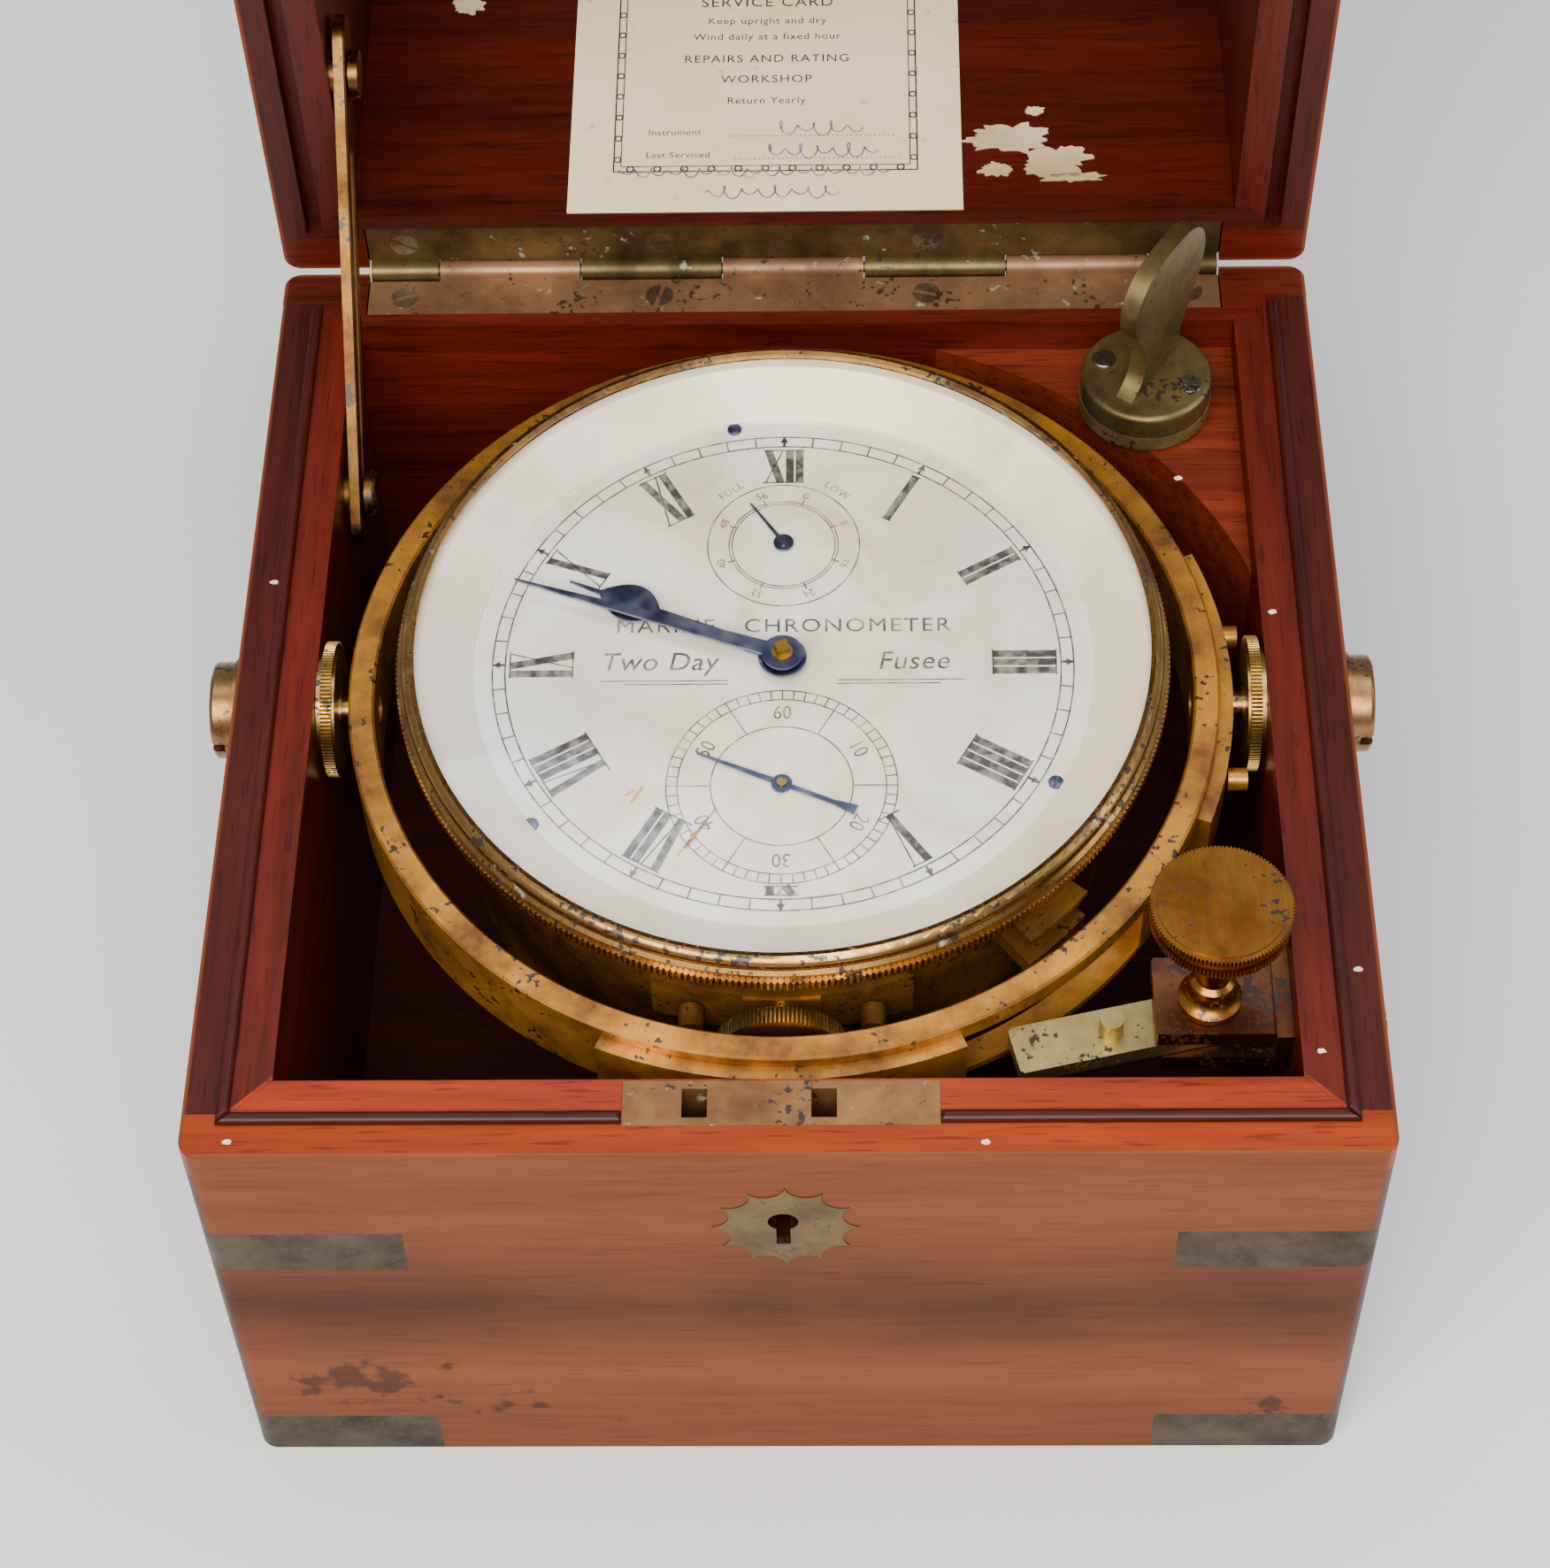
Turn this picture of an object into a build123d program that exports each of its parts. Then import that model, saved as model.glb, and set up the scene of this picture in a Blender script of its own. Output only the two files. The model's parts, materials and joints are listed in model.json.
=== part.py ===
# A two-day marine chronometer, gimballed in a two-tier brass-bound mahogany case, lid open.
# Origin: centre of the case's underside. X to the right, Y to the back, Z up. Millimetres.
from build123d import *
import os
from math import acos, atan2, cos, degrees, pi, radians, sin, sqrt, tan

os.makedirs("parts", exist_ok=True)

# ---------------------------------------------------------------- driving dimensions
CASE_W = 184.0
CASE_D = 186.0
CASE_H = 96.0
LID_H = 86.0
BOARD = 7.4  # thickness of the case boards
LINING = 6.0  # thickness of the case linings
BASE_T = 8.5
TOP_T = 9.0
CORNER_R = 3.0
SLIP = 0.05  # radial clearance of a running fit, and of a part let into another

LID_OPEN = 87.0  # degrees from shut, resting against the stay
LID_GAP = 0.4  # between the two rims when shut
LID_BOARD = 7.9
LID_LINING = 5.5
HINGE_Y = 93.6
HINGE_Z = 96.1
BARREL_R = 2.2
PIN_R = 1.0
LEAF_HALF = 76.5
LEAF_T = 1.5
LEAF_FRONT = 82.8
KNUCKLE_ENDS = [-76.5, -64.0, -38.4, -12.8, 12.8, 38.4, 64.0, 76.5]
HINGE_SCREW_X = [-70.0, -24.0, 24.0, 71.0]

STAY_R = 45.5  # the stay's pivot and its stud lie on one circle about the hinge
STAY_PIVOT_ANGLE = 87.56
STAY_STUD_ANGLE = 193.6
STAY_X = -76.6
STAY_T = 2.0
STAY_W = 9.5
STAY_SLOT = (14.0, 72.45)  # the stud rests at its far end when the lid is open
STAY_ENDS = (-5.3, 77.3)

BEAD_IN = 5.4  # from the case's face to the dust bead
BEAD_W = 2.0
BEAD_TOP = 97.2
BEAD_SEAT = 2.0
BEAD_BACK = 84.0

LOCK_X = -0.85
LOCK_W = 48.3
LOCK_Y = -83.9
LOCK_D = 8.0
HOOK_X = [-14.0, 5.7]
STAR_Z = 74.6
STRAP_END_X = 60.3
STRAP_T = 1.2
STRAP_TIERS = [(0.0, 11.6), (61.5, 11.1)]

GIMBAL_X = -1.15
GIMBAL_Z = 86.5
TILT = 3.2  # the ring and bowl hang this far from level
RING_R = 72.2
RING_IN = 67.9
RING_TOP = 8.0
RING_BOTTOM = -7.5
PAD_OUT = 74.5
PIVOT_R = 2.2
NUT_R = 11.4
NUT_T = 3.0

BOWL_R = 55.0
BOWL_FLOOR = -47.0
BEZEL_R = 63.4
GLASS_R = 61.0
DIAL_R = 52.4
DIAL_Z = 12.4
SECONDS_Y = -24.2
UPDOWN_Y = 24.6
DIAL_SCREWS = [(-40.1, -31.6), (44.1, -24.0), (-8.6, 49.5)]
PILLAR_PLATE = (4.4, 7.0)  # the movement's two plates, bottom and top of each
TOP_PLATE = (-20.5, -18.0)

LOCK_PIVOT = (65.9, -61.1)
ARM_ANGLE = 193.3
ARM_LENGTH = 31.5
ARM_STUD = 15.8
ARM_Z = 83.0
ARM_T = 3.0
ARM_W = 8.6

BLOCK_TOP = 89.0
BLOCK_R = 84.0
KEY_AT = (62.3, 65.7)
KEY_R = 11.6
KEY_PLATE_ANGLE = 57.0
KEY_HEAD_TOP = 97.5

# ---------------------------------------------------------------- frames of reference
GIMBAL_LOC = Location((GIMBAL_X, 0, GIMBAL_Z), (TILT, 0, 0))
LID_LOC = Location((0, HINGE_Y, HINGE_Z)) * Location((0, 0, 0), (-LID_OPEN, 0, 0))
LID_LOC = LID_LOC * Location((0, -HINGE_Y, -HINGE_Z))
DIAL_PLANE = Plane(GIMBAL_LOC)  # its local origin is where the gimbal axes cross
DIAL_SECTION = Plane(GIMBAL_LOC * Plane.XZ.location)
DIAL_SIDE = Plane(GIMBAL_LOC * Plane.YZ.location)
DIAL_AXIS = Axis(DIAL_PLANE.origin, DIAL_PLANE.z_dir)
LID_PLANE = Plane(LID_LOC)  # local coordinates are those of the shut lid
LID_SIDE = Plane(LID_LOC * Plane.YZ.location)

INNER_X = CASE_W / 2 - BOARD - LINING
INNER_Y = CASE_D / 2 - BOARD - LINING
LID_RIM = CASE_H + LID_GAP
LID_TOP = LID_RIM + LID_H


def save(piece, name):
    """Label a finished piece and write its STEP file."""
    piece.part.label = name
    export_step(piece.part, f"parts/{name}.step")


def polar(radius, angle):
    """Point at a radius and an angle in degrees."""
    return (radius * cos(radians(angle)), radius * sin(radians(angle)))


# ---------------------------------------------------------------- shared shapes
def slotted_screw(plane, head_r, head_t, shank_r, shank_l, slot_w=0.8, slot_angle=0.0):
    """A screw whose head stands on a plane, with its shank running below it."""
    with BuildPart() as screw:
        with BuildSketch(plane):
            Circle(head_r)
        extrude(amount=head_t)
        chamfer(screw.faces().sort_by(Axis(plane.origin, plane.z_dir))[-1].edges(), head_t * 0.25)
        with BuildSketch(plane.offset(head_t)):
            Rectangle(2.2 * head_r, slot_w, rotation=slot_angle)
        extrude(amount=-head_t * 0.5, mode=Mode.SUBTRACT)
        with BuildSketch(plane):
            Circle(shank_r)
        extrude(amount=-shank_l)
    return screw.part


def countersunk_screw(plane, head_r, shank_r, shank_l, slot_angle=0.0):
    """A wood screw whose slotted head lies flush with a plane."""
    depth = head_r - shank_r
    with BuildPart() as screw:
        with BuildSketch(plane):
            Circle(head_r)
        extrude(amount=-depth, taper=44)
        with BuildSketch(plane.offset(-depth * 0.9)):
            Circle(shank_r)
        extrude(amount=-shank_l)
        with BuildSketch(plane):
            Rectangle(2.2 * head_r, 0.7, rotation=slot_angle)
        extrude(amount=-0.6, mode=Mode.SUBTRACT)
    return screw.part


def milled_disc(plane, radius, depth, teeth, height, bore=0.0):
    """A disc whose edge is milled with straight grooves, standing on a plane."""
    step = 360.0 / teeth
    with BuildPart() as disc:
        with BuildSketch(plane):
            with BuildLine():
                points = []
                for tooth in range(teeth):
                    points.append(polar(radius, tooth * step))
                    points.append(polar(radius, (tooth + 0.4) * step))
                    points.append(polar(radius - depth, (tooth + 0.7) * step))
                Polyline(*points, close=True)
            make_face()
            if bore:
                Circle(bore, mode=Mode.SUBTRACT)
        extrude(amount=height)
    return disc.part


def tooth_half_angle(radius, pitch_r, teeth):
    """Half of an involute tooth's angle at a radius, thinned for backlash, in degrees."""
    base = pitch_r * cos(radians(20))
    turn = acos(base / max(radius, base))
    turn_at_pitch = radians(20)
    thin = 0.40 * 360.0 / teeth / 2
    return thin + degrees(tan(turn_at_pitch) - turn_at_pitch - tan(turn) + turn)


def gear(plane, teeth, module, face, phase, bore=0.0, crossings=0):
    """A toothed wheel standing on a plane, one tooth centred on the phase angle."""
    pitch_r = teeth * module / 2
    tip = pitch_r + 0.75 * module
    root = pitch_r - 1.0 * module
    step = 360.0 / teeth
    with BuildPart() as wheel:
        with BuildSketch(plane):
            with BuildLine():
                points = []
                for tooth in range(teeth):
                    centre = phase + tooth * step
                    for radius in (root, pitch_r, tip):
                        points.append(polar(radius, centre - tooth_half_angle(radius, pitch_r, teeth)))
                    for radius in (tip, pitch_r, root):
                        points.append(polar(radius, centre + tooth_half_angle(radius, pitch_r, teeth)))
                Polyline(*points, close=True)
            make_face()
            if crossings:
                Circle(root * 0.86, mode=Mode.SUBTRACT)
                Circle(root * 0.2)
                with PolarLocations(root * 0.5, crossings):
                    Rectangle(root * 0.8, root * 0.12)
            if bore:
                Circle(bore, mode=Mode.SUBTRACT)
        extrude(amount=face)
    return wheel.part


def ring_sector(plane, inner, outer, start, sweep, height):
    """Part of a flat ring between two angles, standing on a plane."""
    reach = outer * 1.5
    with BuildPart() as sector:
        with BuildSketch(plane):
            Circle(outer)
            Circle(inner, mode=Mode.SUBTRACT)
            with BuildLine():
                corners = [(0, 0)]
                for part in range(4):
                    corners.append(polar(reach, start + sweep * part / 3))
                Polyline(*corners, close=True)
            make_face(mode=Mode.INTERSECT)
        extrude(amount=height)
    return sector.part


# ---------------------------------------------------------------- straps, screws and lock
def make_straps():
    with BuildPart() as straps:
        for bottom, height in STRAP_TIERS:
            with BuildSketch(Plane.XY.offset(bottom)):
                RectangleRounded(CASE_W, CASE_D, CORNER_R)
                RectangleRounded(
                    CASE_W - 2 * STRAP_T, CASE_D - 2 * STRAP_T, CORNER_R - STRAP_T, mode=Mode.SUBTRACT
                )
                strap_l = CASE_W / 2 - STRAP_END_X
                Rectangle(2 * STRAP_END_X, CASE_D + 2, mode=Mode.SUBTRACT)
                Rectangle(CASE_W + 2, CASE_D - 2 * strap_l, mode=Mode.SUBTRACT)
            extrude(amount=height)
    return straps


def make_case_screws():
    """Hinge screws from above, and one bolt through the right side for the lock bracket."""
    with BuildPart() as screws:
        for x, turn in zip(HINGE_SCREW_X, (20, 75, -15, 40)):
            add(countersunk_screw(Plane((x, 87.0, CASE_H)), 2.5, 1.2, 9.0, turn))
        side = Plane((CASE_W / 2, -64.0, 85.0), x_dir=(0, 1, 0), z_dir=(1, 0, 0))
        add(slotted_screw(side, 3.7, 1.4, 1.8, BOARD + LINING + 1.8, 0.9, 90))
    return screws


def make_lid_screws():
    with BuildPart() as screws:
        for x, turn in zip(HINGE_SCREW_X, (-30, 10, 60, -70)):
            seat = Plane(LID_LOC * Location((x, 87.0, LID_RIM), (180, 0, 0)))
            add(countersunk_screw(seat, 2.5, 1.2, 9.0, turn))
        for x in (LOCK_X - 20.5, LOCK_X + 20.5):
            seat = Plane(LID_LOC * Location((x, LOCK_Y, LID_RIM), (180, 0, 0)))
            add(countersunk_screw(seat, 1.9, 0.9, 7.0, 15))
    return screws


def make_lock():
    """Face plate with two square holes, and the hollow lock body below it."""
    with BuildPart() as lock:
        with BuildSketch(Plane.XY.offset(CASE_H - LEAF_T)):
            with Locations((LOCK_X, LOCK_Y)):
                Rectangle(LOCK_W, LOCK_D)
        extrude(amount=LEAF_T)
        with BuildSketch(Plane.XY.offset(CASE_H - LEAF_T)):
            with Locations((LOCK_X, LOCK_Y)):
                Rectangle(42, 6)
        extrude(amount=-30)
        with BuildSketch(Plane.XY.offset(CASE_H - LEAF_T)):
            with Locations((LOCK_X, LOCK_Y)):
                Rectangle(39, 5.1)
        extrude(amount=-28.5, mode=Mode.SUBTRACT)
        with BuildSketch(Plane.XY.offset(CASE_H)):
            with Locations(*[(x, LOCK_Y) for x in HOOK_X]):
                Rectangle(3.9, 5.1)
        extrude(amount=-2, mode=Mode.SUBTRACT)
        with BuildSketch(Plane.XZ.offset(CASE_D / 2)):
            add(keyhole_face())
        extrude(amount=-8.0, mode=Mode.SUBTRACT)
    return lock


def keyhole_face():
    with BuildSketch() as keyhole:
        with Locations((LOCK_X, STAR_Z + 1.6)):
            Circle(2.4)
        with Locations((LOCK_X, STAR_Z - 1.9)):
            Rectangle(2.2, 6.4)
    return keyhole.sketch


def star_face():
    """Round plate with twelve concave scallops."""
    tip = 11.5
    scallop_at = 12.5
    scallop_r = sqrt(scallop_at**2 + tip**2 - 2 * scallop_at * tip * cos(radians(15)))
    with BuildSketch() as star:
        with Locations((LOCK_X + 0.4, STAR_Z)):
            Circle(tip)
            with PolarLocations(scallop_at, 12, start_angle=15):
                Circle(scallop_r, mode=Mode.SUBTRACT)
    return star.sketch


corner_straps = make_straps()
save(corner_straps, "corner_straps")
case_wood_screws = make_case_screws()
save(case_wood_screws, "case_wood_screws")
lid_wood_screws = make_lid_screws()
save(lid_wood_screws, "lid_wood_screws")
lock = make_lock()
save(lock, "lock")

with BuildPart() as escutcheon:
    with BuildSketch(Plane.XZ.offset(CASE_D / 2 + 0.15)):
        add(star_face())
        add(keyhole_face(), mode=Mode.SUBTRACT)
    extrude(amount=-1.2)
save(escutcheon, "escutcheon")

with BuildPart() as lock_bolt:
    with BuildSketch(Plane.XZ.offset(-LOCK_Y + 1.1)):
        with Locations((LOCK_X + 0.25, 83.0)):
            Rectangle(30, 4)
        for hook in HOOK_X:
            with Locations((hook + 6.6, 87.5)):
                Rectangle(2.4, 6)
            with Locations((hook + 5.3, 90.1)):
                Rectangle(5, 2.2)
    extrude(amount=-2.2)
save(lock_bolt, "lock_bolt")


# ---------------------------------------------------------------- case
def pivot_screw(side):
    """Gimbal screw through a side of the case: slotted head, shank, and pivot in the ring."""
    outer = Plane((side * (CASE_W / 2), 0, GIMBAL_Z), x_dir=(0, 1, 0), z_dir=(side, 0, 0))
    with BuildPart() as screw:
        with BuildSketch(outer):
            Circle(8.7)
        extrude(amount=0.7)
        with BuildSketch(outer.offset(0.7)):
            Circle(8.1)
        extrude(amount=3.9)
        fillet(screw.faces().sort_by(Axis.X)[0 if side < 0 else -1].edges(), 0.8)
        with BuildSketch(outer.offset(4.6)):
            Rectangle(20, 1.9)
        extrude(amount=-2.2, mode=Mode.SUBTRACT)
        with BuildSketch(outer):
            Circle(3.0)
        extrude(amount=-(CASE_W / 2 - 75.2))
        with BuildSketch(outer.offset(75.2 - CASE_W / 2)):
            Circle(PIVOT_R)
        extrude(amount=-5.0)
    return screw.part


with BuildPart() as gimbal_pivot_screws:
    for side in (-1, 1):
        add(pivot_screw(side))
save(gimbal_pivot_screws, "gimbal_pivot_screws")

with BuildPart() as gimbal_lock_nuts:
    for side in (-1, 1):
        face = Plane((side * (INNER_X - 0.1), 0, GIMBAL_Z), x_dir=(0, 1, 0), z_dir=(-side, 0, 0))
        add(milled_disc(face.offset(0.9), NUT_R, 0.4, 108, NUT_T - 1.2, 3.02))
        with BuildSketch(face):
            Circle(NUT_R - 1.6)
            Circle(3.02, mode=Mode.SUBTRACT)
        extrude(amount=NUT_T)
save(gimbal_lock_nuts, "gimbal_lock_nuts")

bead_x = CASE_W / 2 - BEAD_IN - BEAD_W / 2
bead_y = CASE_D / 2 - BEAD_IN - BEAD_W / 2


def bead_ring(width, gap):
    """Plan of the dust bead: three sides of a rectangle, open at the back and at the lock."""
    with BuildSketch() as plan:
        with Locations((0, (BEAD_BACK - bead_y - width / 2) / 2)):
            Rectangle(2 * bead_x + width, BEAD_BACK + bead_y + width / 2)
        with Locations((0, (100 - bead_y + width / 2) / 2)):
            Rectangle(2 * bead_x - width, 100 + bead_y - width / 2, mode=Mode.SUBTRACT)
        with Locations((LOCK_X, -bead_y)):
            Rectangle(LOCK_W + gap, 2 * width, mode=Mode.SUBTRACT)
    return plan.sketch


with BuildPart() as dust_beads:
    with BuildSketch(Plane.XY.offset(CASE_H - BEAD_SEAT)):
        add(bead_ring(BEAD_W, 0.1))
        for side in (-1, 1):
            with Locations((side * bead_x, -bead_y)):
                Rectangle(0.06, 8, rotation=side * 45, mode=Mode.SUBTRACT)
    extrude(amount=BEAD_TOP - CASE_H + BEAD_SEAT)
    fillet(dust_beads.faces().sort_by(Axis.Z)[-4:].edges().filter_by(Axis.Z, reverse=True), 0.7)
save(dust_beads, "dust_beads")


def cut_fittings(gap=0.0):
    """Shapes let into the case boards and linings: straps, screws, lock, beads and hinge."""
    with BuildPart() as cutter:
        add(corner_straps.part)
        add(case_wood_screws.part)
        with BuildSketch(Plane.XY.offset(CASE_H - BEAD_SEAT)):
            add(bead_ring(BEAD_W, 0.0))
        extrude(amount=BEAD_SEAT + 1)
        with BuildSketch(Plane.XY.offset(CASE_H - LEAF_T)):
            with Locations((LOCK_X, LOCK_Y)):
                Rectangle(LOCK_W + 2 * SLIP, LOCK_D + 2 * SLIP)
            with Locations((0, (LEAF_FRONT + HINGE_Y) / 2)):
                Rectangle(2 * LEAF_HALF + 0.6, HINGE_Y - LEAF_FRONT + 2 * SLIP)
        extrude(amount=LEAF_T + 1)
        with BuildSketch(Plane.XY.offset(CASE_H - 31.6)):
            with Locations((LOCK_X, LOCK_Y)):
                Rectangle(42.1, 6.1)
        extrude(amount=31)
        with BuildSketch(Plane.XZ.offset(CASE_D / 2 + 1)):
            add(star_face())
        extrude(amount=-2.05)
        with BuildSketch(Plane.XZ.offset(CASE_D / 2)):
            add(keyhole_face())
        extrude(amount=-8)
        with BuildSketch(Plane.YZ.offset(-LEAF_HALF - 0.3)):
            with Locations((HINGE_Y, HINGE_Z)):
                Circle(BARREL_R + 0.3)
        extrude(amount=2 * LEAF_HALF + 0.6)
        with BuildSketch(Plane.YZ.offset(-CASE_W / 2 - 1)):
            with Locations((0, GIMBAL_Z)):
                Circle(3.0 + 0.02)
        extrude(amount=CASE_W + 2)
    return cutter.part


case_cuts = cut_fittings()

with BuildPart() as case_front_wall:
    with BuildSketch():
        with Locations((0, (BOARD - CASE_D) / 2)):
            Rectangle(CASE_W, BOARD)
    extrude(amount=CASE_H)
    fillet(case_front_wall.edges().filter_by(Axis.Z).group_by(Axis.Y)[0], CORNER_R)
    fillet(case_front_wall.faces().sort_by(Axis.Z)[-1].edges().group_by(Axis.Y)[0], 0.5)
    add(case_cuts, mode=Mode.SUBTRACT)
save(case_front_wall, "case_front_wall")

with BuildPart() as case_back_wall:
    with BuildSketch():
        with Locations((0, (CASE_D - BOARD) / 2)):
            Rectangle(CASE_W, BOARD)
    extrude(amount=CASE_H)
    fillet(case_back_wall.edges().filter_by(Axis.Z).group_by(Axis.Y)[-1], CORNER_R)
    add(case_cuts, mode=Mode.SUBTRACT)
save(case_back_wall, "case_back_wall")

with BuildPart() as case_side_walls:
    with BuildSketch():
        for side in (-1, 1):
            with Locations((side * (CASE_W - BOARD) / 2, 0)):
                Rectangle(BOARD, CASE_D - 2 * BOARD)
    extrude(amount=CASE_H)
    for end in (0, -1):
        outer_edge = case_side_walls.edges().filter_by(Axis.Y).group_by(Axis.Z)[-1].sort_by(Axis.X)[end]
        fillet(outer_edge, 0.5)
    add(case_cuts, mode=Mode.SUBTRACT)
save(case_side_walls, "case_side_walls")

with BuildPart() as case_base_board:
    with BuildSketch():
        Rectangle(CASE_W - 2 * BOARD, CASE_D - 2 * BOARD)
    extrude(amount=BASE_T)
save(case_base_board, "case_base_board")


def mitred_linings(plane, outer_x, outer_y, thickness, height):
    """Four lining boards, mitred at the corners, standing on a plane."""
    with BuildPart() as linings:
        with BuildSketch(plane):
            Rectangle(2 * outer_x, 2 * outer_y)
            Rectangle(2 * (outer_x - thickness), 2 * (outer_y - thickness), mode=Mode.SUBTRACT)
            for side_x in (-1, 1):
                for side_y in (-1, 1):
                    with Locations((side_x * (outer_x - thickness / 2), side_y * (outer_y - thickness / 2))):
                        Rectangle(0.06, 3 * thickness, rotation=-side_x * side_y * 45, mode=Mode.SUBTRACT)
        extrude(amount=height)
    return linings.part


with BuildPart() as case_linings:
    add(
        mitred_linings(
            Plane.XY.offset(BASE_T), CASE_W / 2 - BOARD, CASE_D / 2 - BOARD, LINING, CASE_H - BASE_T
        )
    )
    add(case_cuts, mode=Mode.SUBTRACT)
save(case_linings, "case_linings")

with BuildPart() as corner_block:
    block_x = GIMBAL_X + sqrt(BLOCK_R**2 - INNER_Y**2)
    block_y = sqrt(BLOCK_R**2 - (INNER_X - GIMBAL_X) ** 2)
    middle = polar(BLOCK_R, 45)
    with BuildSketch(Plane.XY.offset(BASE_T)):
        with BuildLine():
            Polyline((block_x, INNER_Y), (INNER_X, INNER_Y), (INNER_X, block_y))
            ThreePointArc((INNER_X, block_y), (middle[0] + GIMBAL_X, middle[1]), (block_x, INNER_Y))
        make_face()
    extrude(amount=BLOCK_TOP - BASE_T)
    with BuildSketch(Plane.XY.offset(BLOCK_TOP)):
        with Locations(KEY_AT):
            Circle(3.6)
    extrude(amount=-41, mode=Mode.SUBTRACT)
save(corner_block, "corner_block")

with BuildPart() as lock_bracket:
    bracket_x = (57.2, INNER_X - 0.05)
    bracket_y = (-67.5, -53.1)
    for low_x, low_z, high_z in ((bracket_x[0], 86.3, 89.3), (58.5, 79.6, 82.7)):
        with BuildSketch(Plane.XY.offset(low_z)):
            with Locations(((low_x + bracket_x[1]) / 2, sum(bracket_y) / 2)):
                Rectangle(bracket_x[1] - low_x, bracket_y[1] - bracket_y[0])
        extrude(amount=high_z - low_z)
    with BuildSketch(Plane.XY.offset(70)):
        with Locations((bracket_x[1] - 1.35, sum(bracket_y) / 2)):
            Rectangle(2.7, 17)
    extrude(amount=20.3)
    chamfer(lock_bracket.edges().filter_by(Axis.Z).group_by(Axis.X)[0], 0.4)
    with BuildSketch(Plane.XY.offset(70)):
        with Locations(LOCK_PIVOT):
            Circle(2.5 + SLIP)
    extrude(amount=22, mode=Mode.SUBTRACT)
    add(case_wood_screws.part, mode=Mode.SUBTRACT)
save(lock_bracket, "lock_bracket")

stay_stud_at = polar(STAY_R, STAY_STUD_ANGLE)
with BuildPart() as stay_stud:
    stud = Plane((-INNER_X, HINGE_Y + stay_stud_at[0], HINGE_Z + stay_stud_at[1]), (0, 1, 0), (1, 0, 0))
    for start, length, radius in ((0, 0.8, 4.5), (0.8, 2.6, 1.9), (3.4, 2.2, 4.2)):
        with BuildSketch(stud.offset(start)):
            Circle(radius)
        extrude(amount=length)
    fillet(stay_stud.faces().sort_by(Axis.X)[-1].edges(), 1.2)
save(stay_stud, "stay_stud")


# ---------------------------------------------------------------- hinge
def hinge_leaf(plane, side_plane, low_z, first):
    """Leaf and every second knuckle; plane and side_plane carry the leaf's own coordinates."""
    with BuildPart() as leaf:
        with BuildSketch(plane.offset(low_z)):
            with Locations((0, (LEAF_FRONT + HINGE_Y - BARREL_R - 0.4) / 2)):
                Rectangle(2 * LEAF_HALF, HINGE_Y - BARREL_R - 0.4 - LEAF_FRONT)
            for knuckle in range(first, 7, 2):
                start, end = KNUCKLE_ENDS[knuckle : knuckle + 2]
                with Locations(((start + end) / 2, (LEAF_FRONT + HINGE_Y) / 2)):
                    Rectangle(end - start - 0.3, HINGE_Y - LEAF_FRONT)
        extrude(amount=LEAF_T)
        for knuckle in range(first, 7, 2):
            start, end = KNUCKLE_ENDS[knuckle : knuckle + 2]
            with BuildSketch(side_plane.offset(start + 0.15)):
                with Locations((HINGE_Y, HINGE_Z)):
                    Circle(BARREL_R)
            extrude(amount=end - start - 0.3)
        with BuildSketch(side_plane.offset(-LEAF_HALF - 1)):
            with Locations((HINGE_Y, HINGE_Z)):
                Circle(PIN_R + SLIP)
        extrude(amount=2 * LEAF_HALF + 2, mode=Mode.SUBTRACT)
    return leaf.part


with BuildPart() as hinge_case_leaf:
    add(hinge_leaf(Plane.XY, Plane.YZ, CASE_H - LEAF_T, 1))
    add(case_wood_screws.part, mode=Mode.SUBTRACT)
save(hinge_case_leaf, "hinge_case_leaf")

with BuildPart() as hinge_lid_leaf:
    add(hinge_leaf(LID_PLANE, LID_SIDE, LID_RIM, 0))
    add(lid_wood_screws.part, mode=Mode.SUBTRACT)
save(hinge_lid_leaf, "hinge_lid_leaf")

with BuildPart() as hinge_pin:
    with BuildSketch(Plane.YZ.offset(-LEAF_HALF)):
        with Locations((HINGE_Y, HINGE_Z)):
            Circle(PIN_R)
    extrude(amount=2 * LEAF_HALF)
save(hinge_pin, "hinge_pin")


# ---------------------------------------------------------------- lid
def cut_lid_fittings():
    """Shapes let into the lid: grooves for the beads, hinge leaf, hook plate and screws."""
    groove = 3.2
    with BuildPart() as cutter:
        add(lid_wood_screws.part)
        with BuildSketch(LID_PLANE.offset(LID_RIM - 1)):
            add(bead_ring(3.0, -0.4))
        extrude(amount=groove + 1)
        with BuildSketch(LID_PLANE.offset(LID_RIM - 1)):
            with Locations((LOCK_X, LOCK_Y)):
                Rectangle(LOCK_W + 2 * SLIP, LOCK_D + 2 * SLIP)
            with Locations((0, (LEAF_FRONT + HINGE_Y) / 2)):
                Rectangle(2 * LEAF_HALF + 0.6, HINGE_Y - LEAF_FRONT + 2 * SLIP)
        extrude(amount=LEAF_T + 1)
        with BuildSketch(LID_SIDE.offset(-LEAF_HALF - 0.3)):
            with Locations((HINGE_Y, HINGE_Z)):
                Circle(BARREL_R + 0.3)
        extrude(amount=2 * LEAF_HALF + 0.6)
    return cutter.part


lid_cuts = cut_lid_fittings()
lid_wall_h = LID_H - TOP_T

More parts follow.
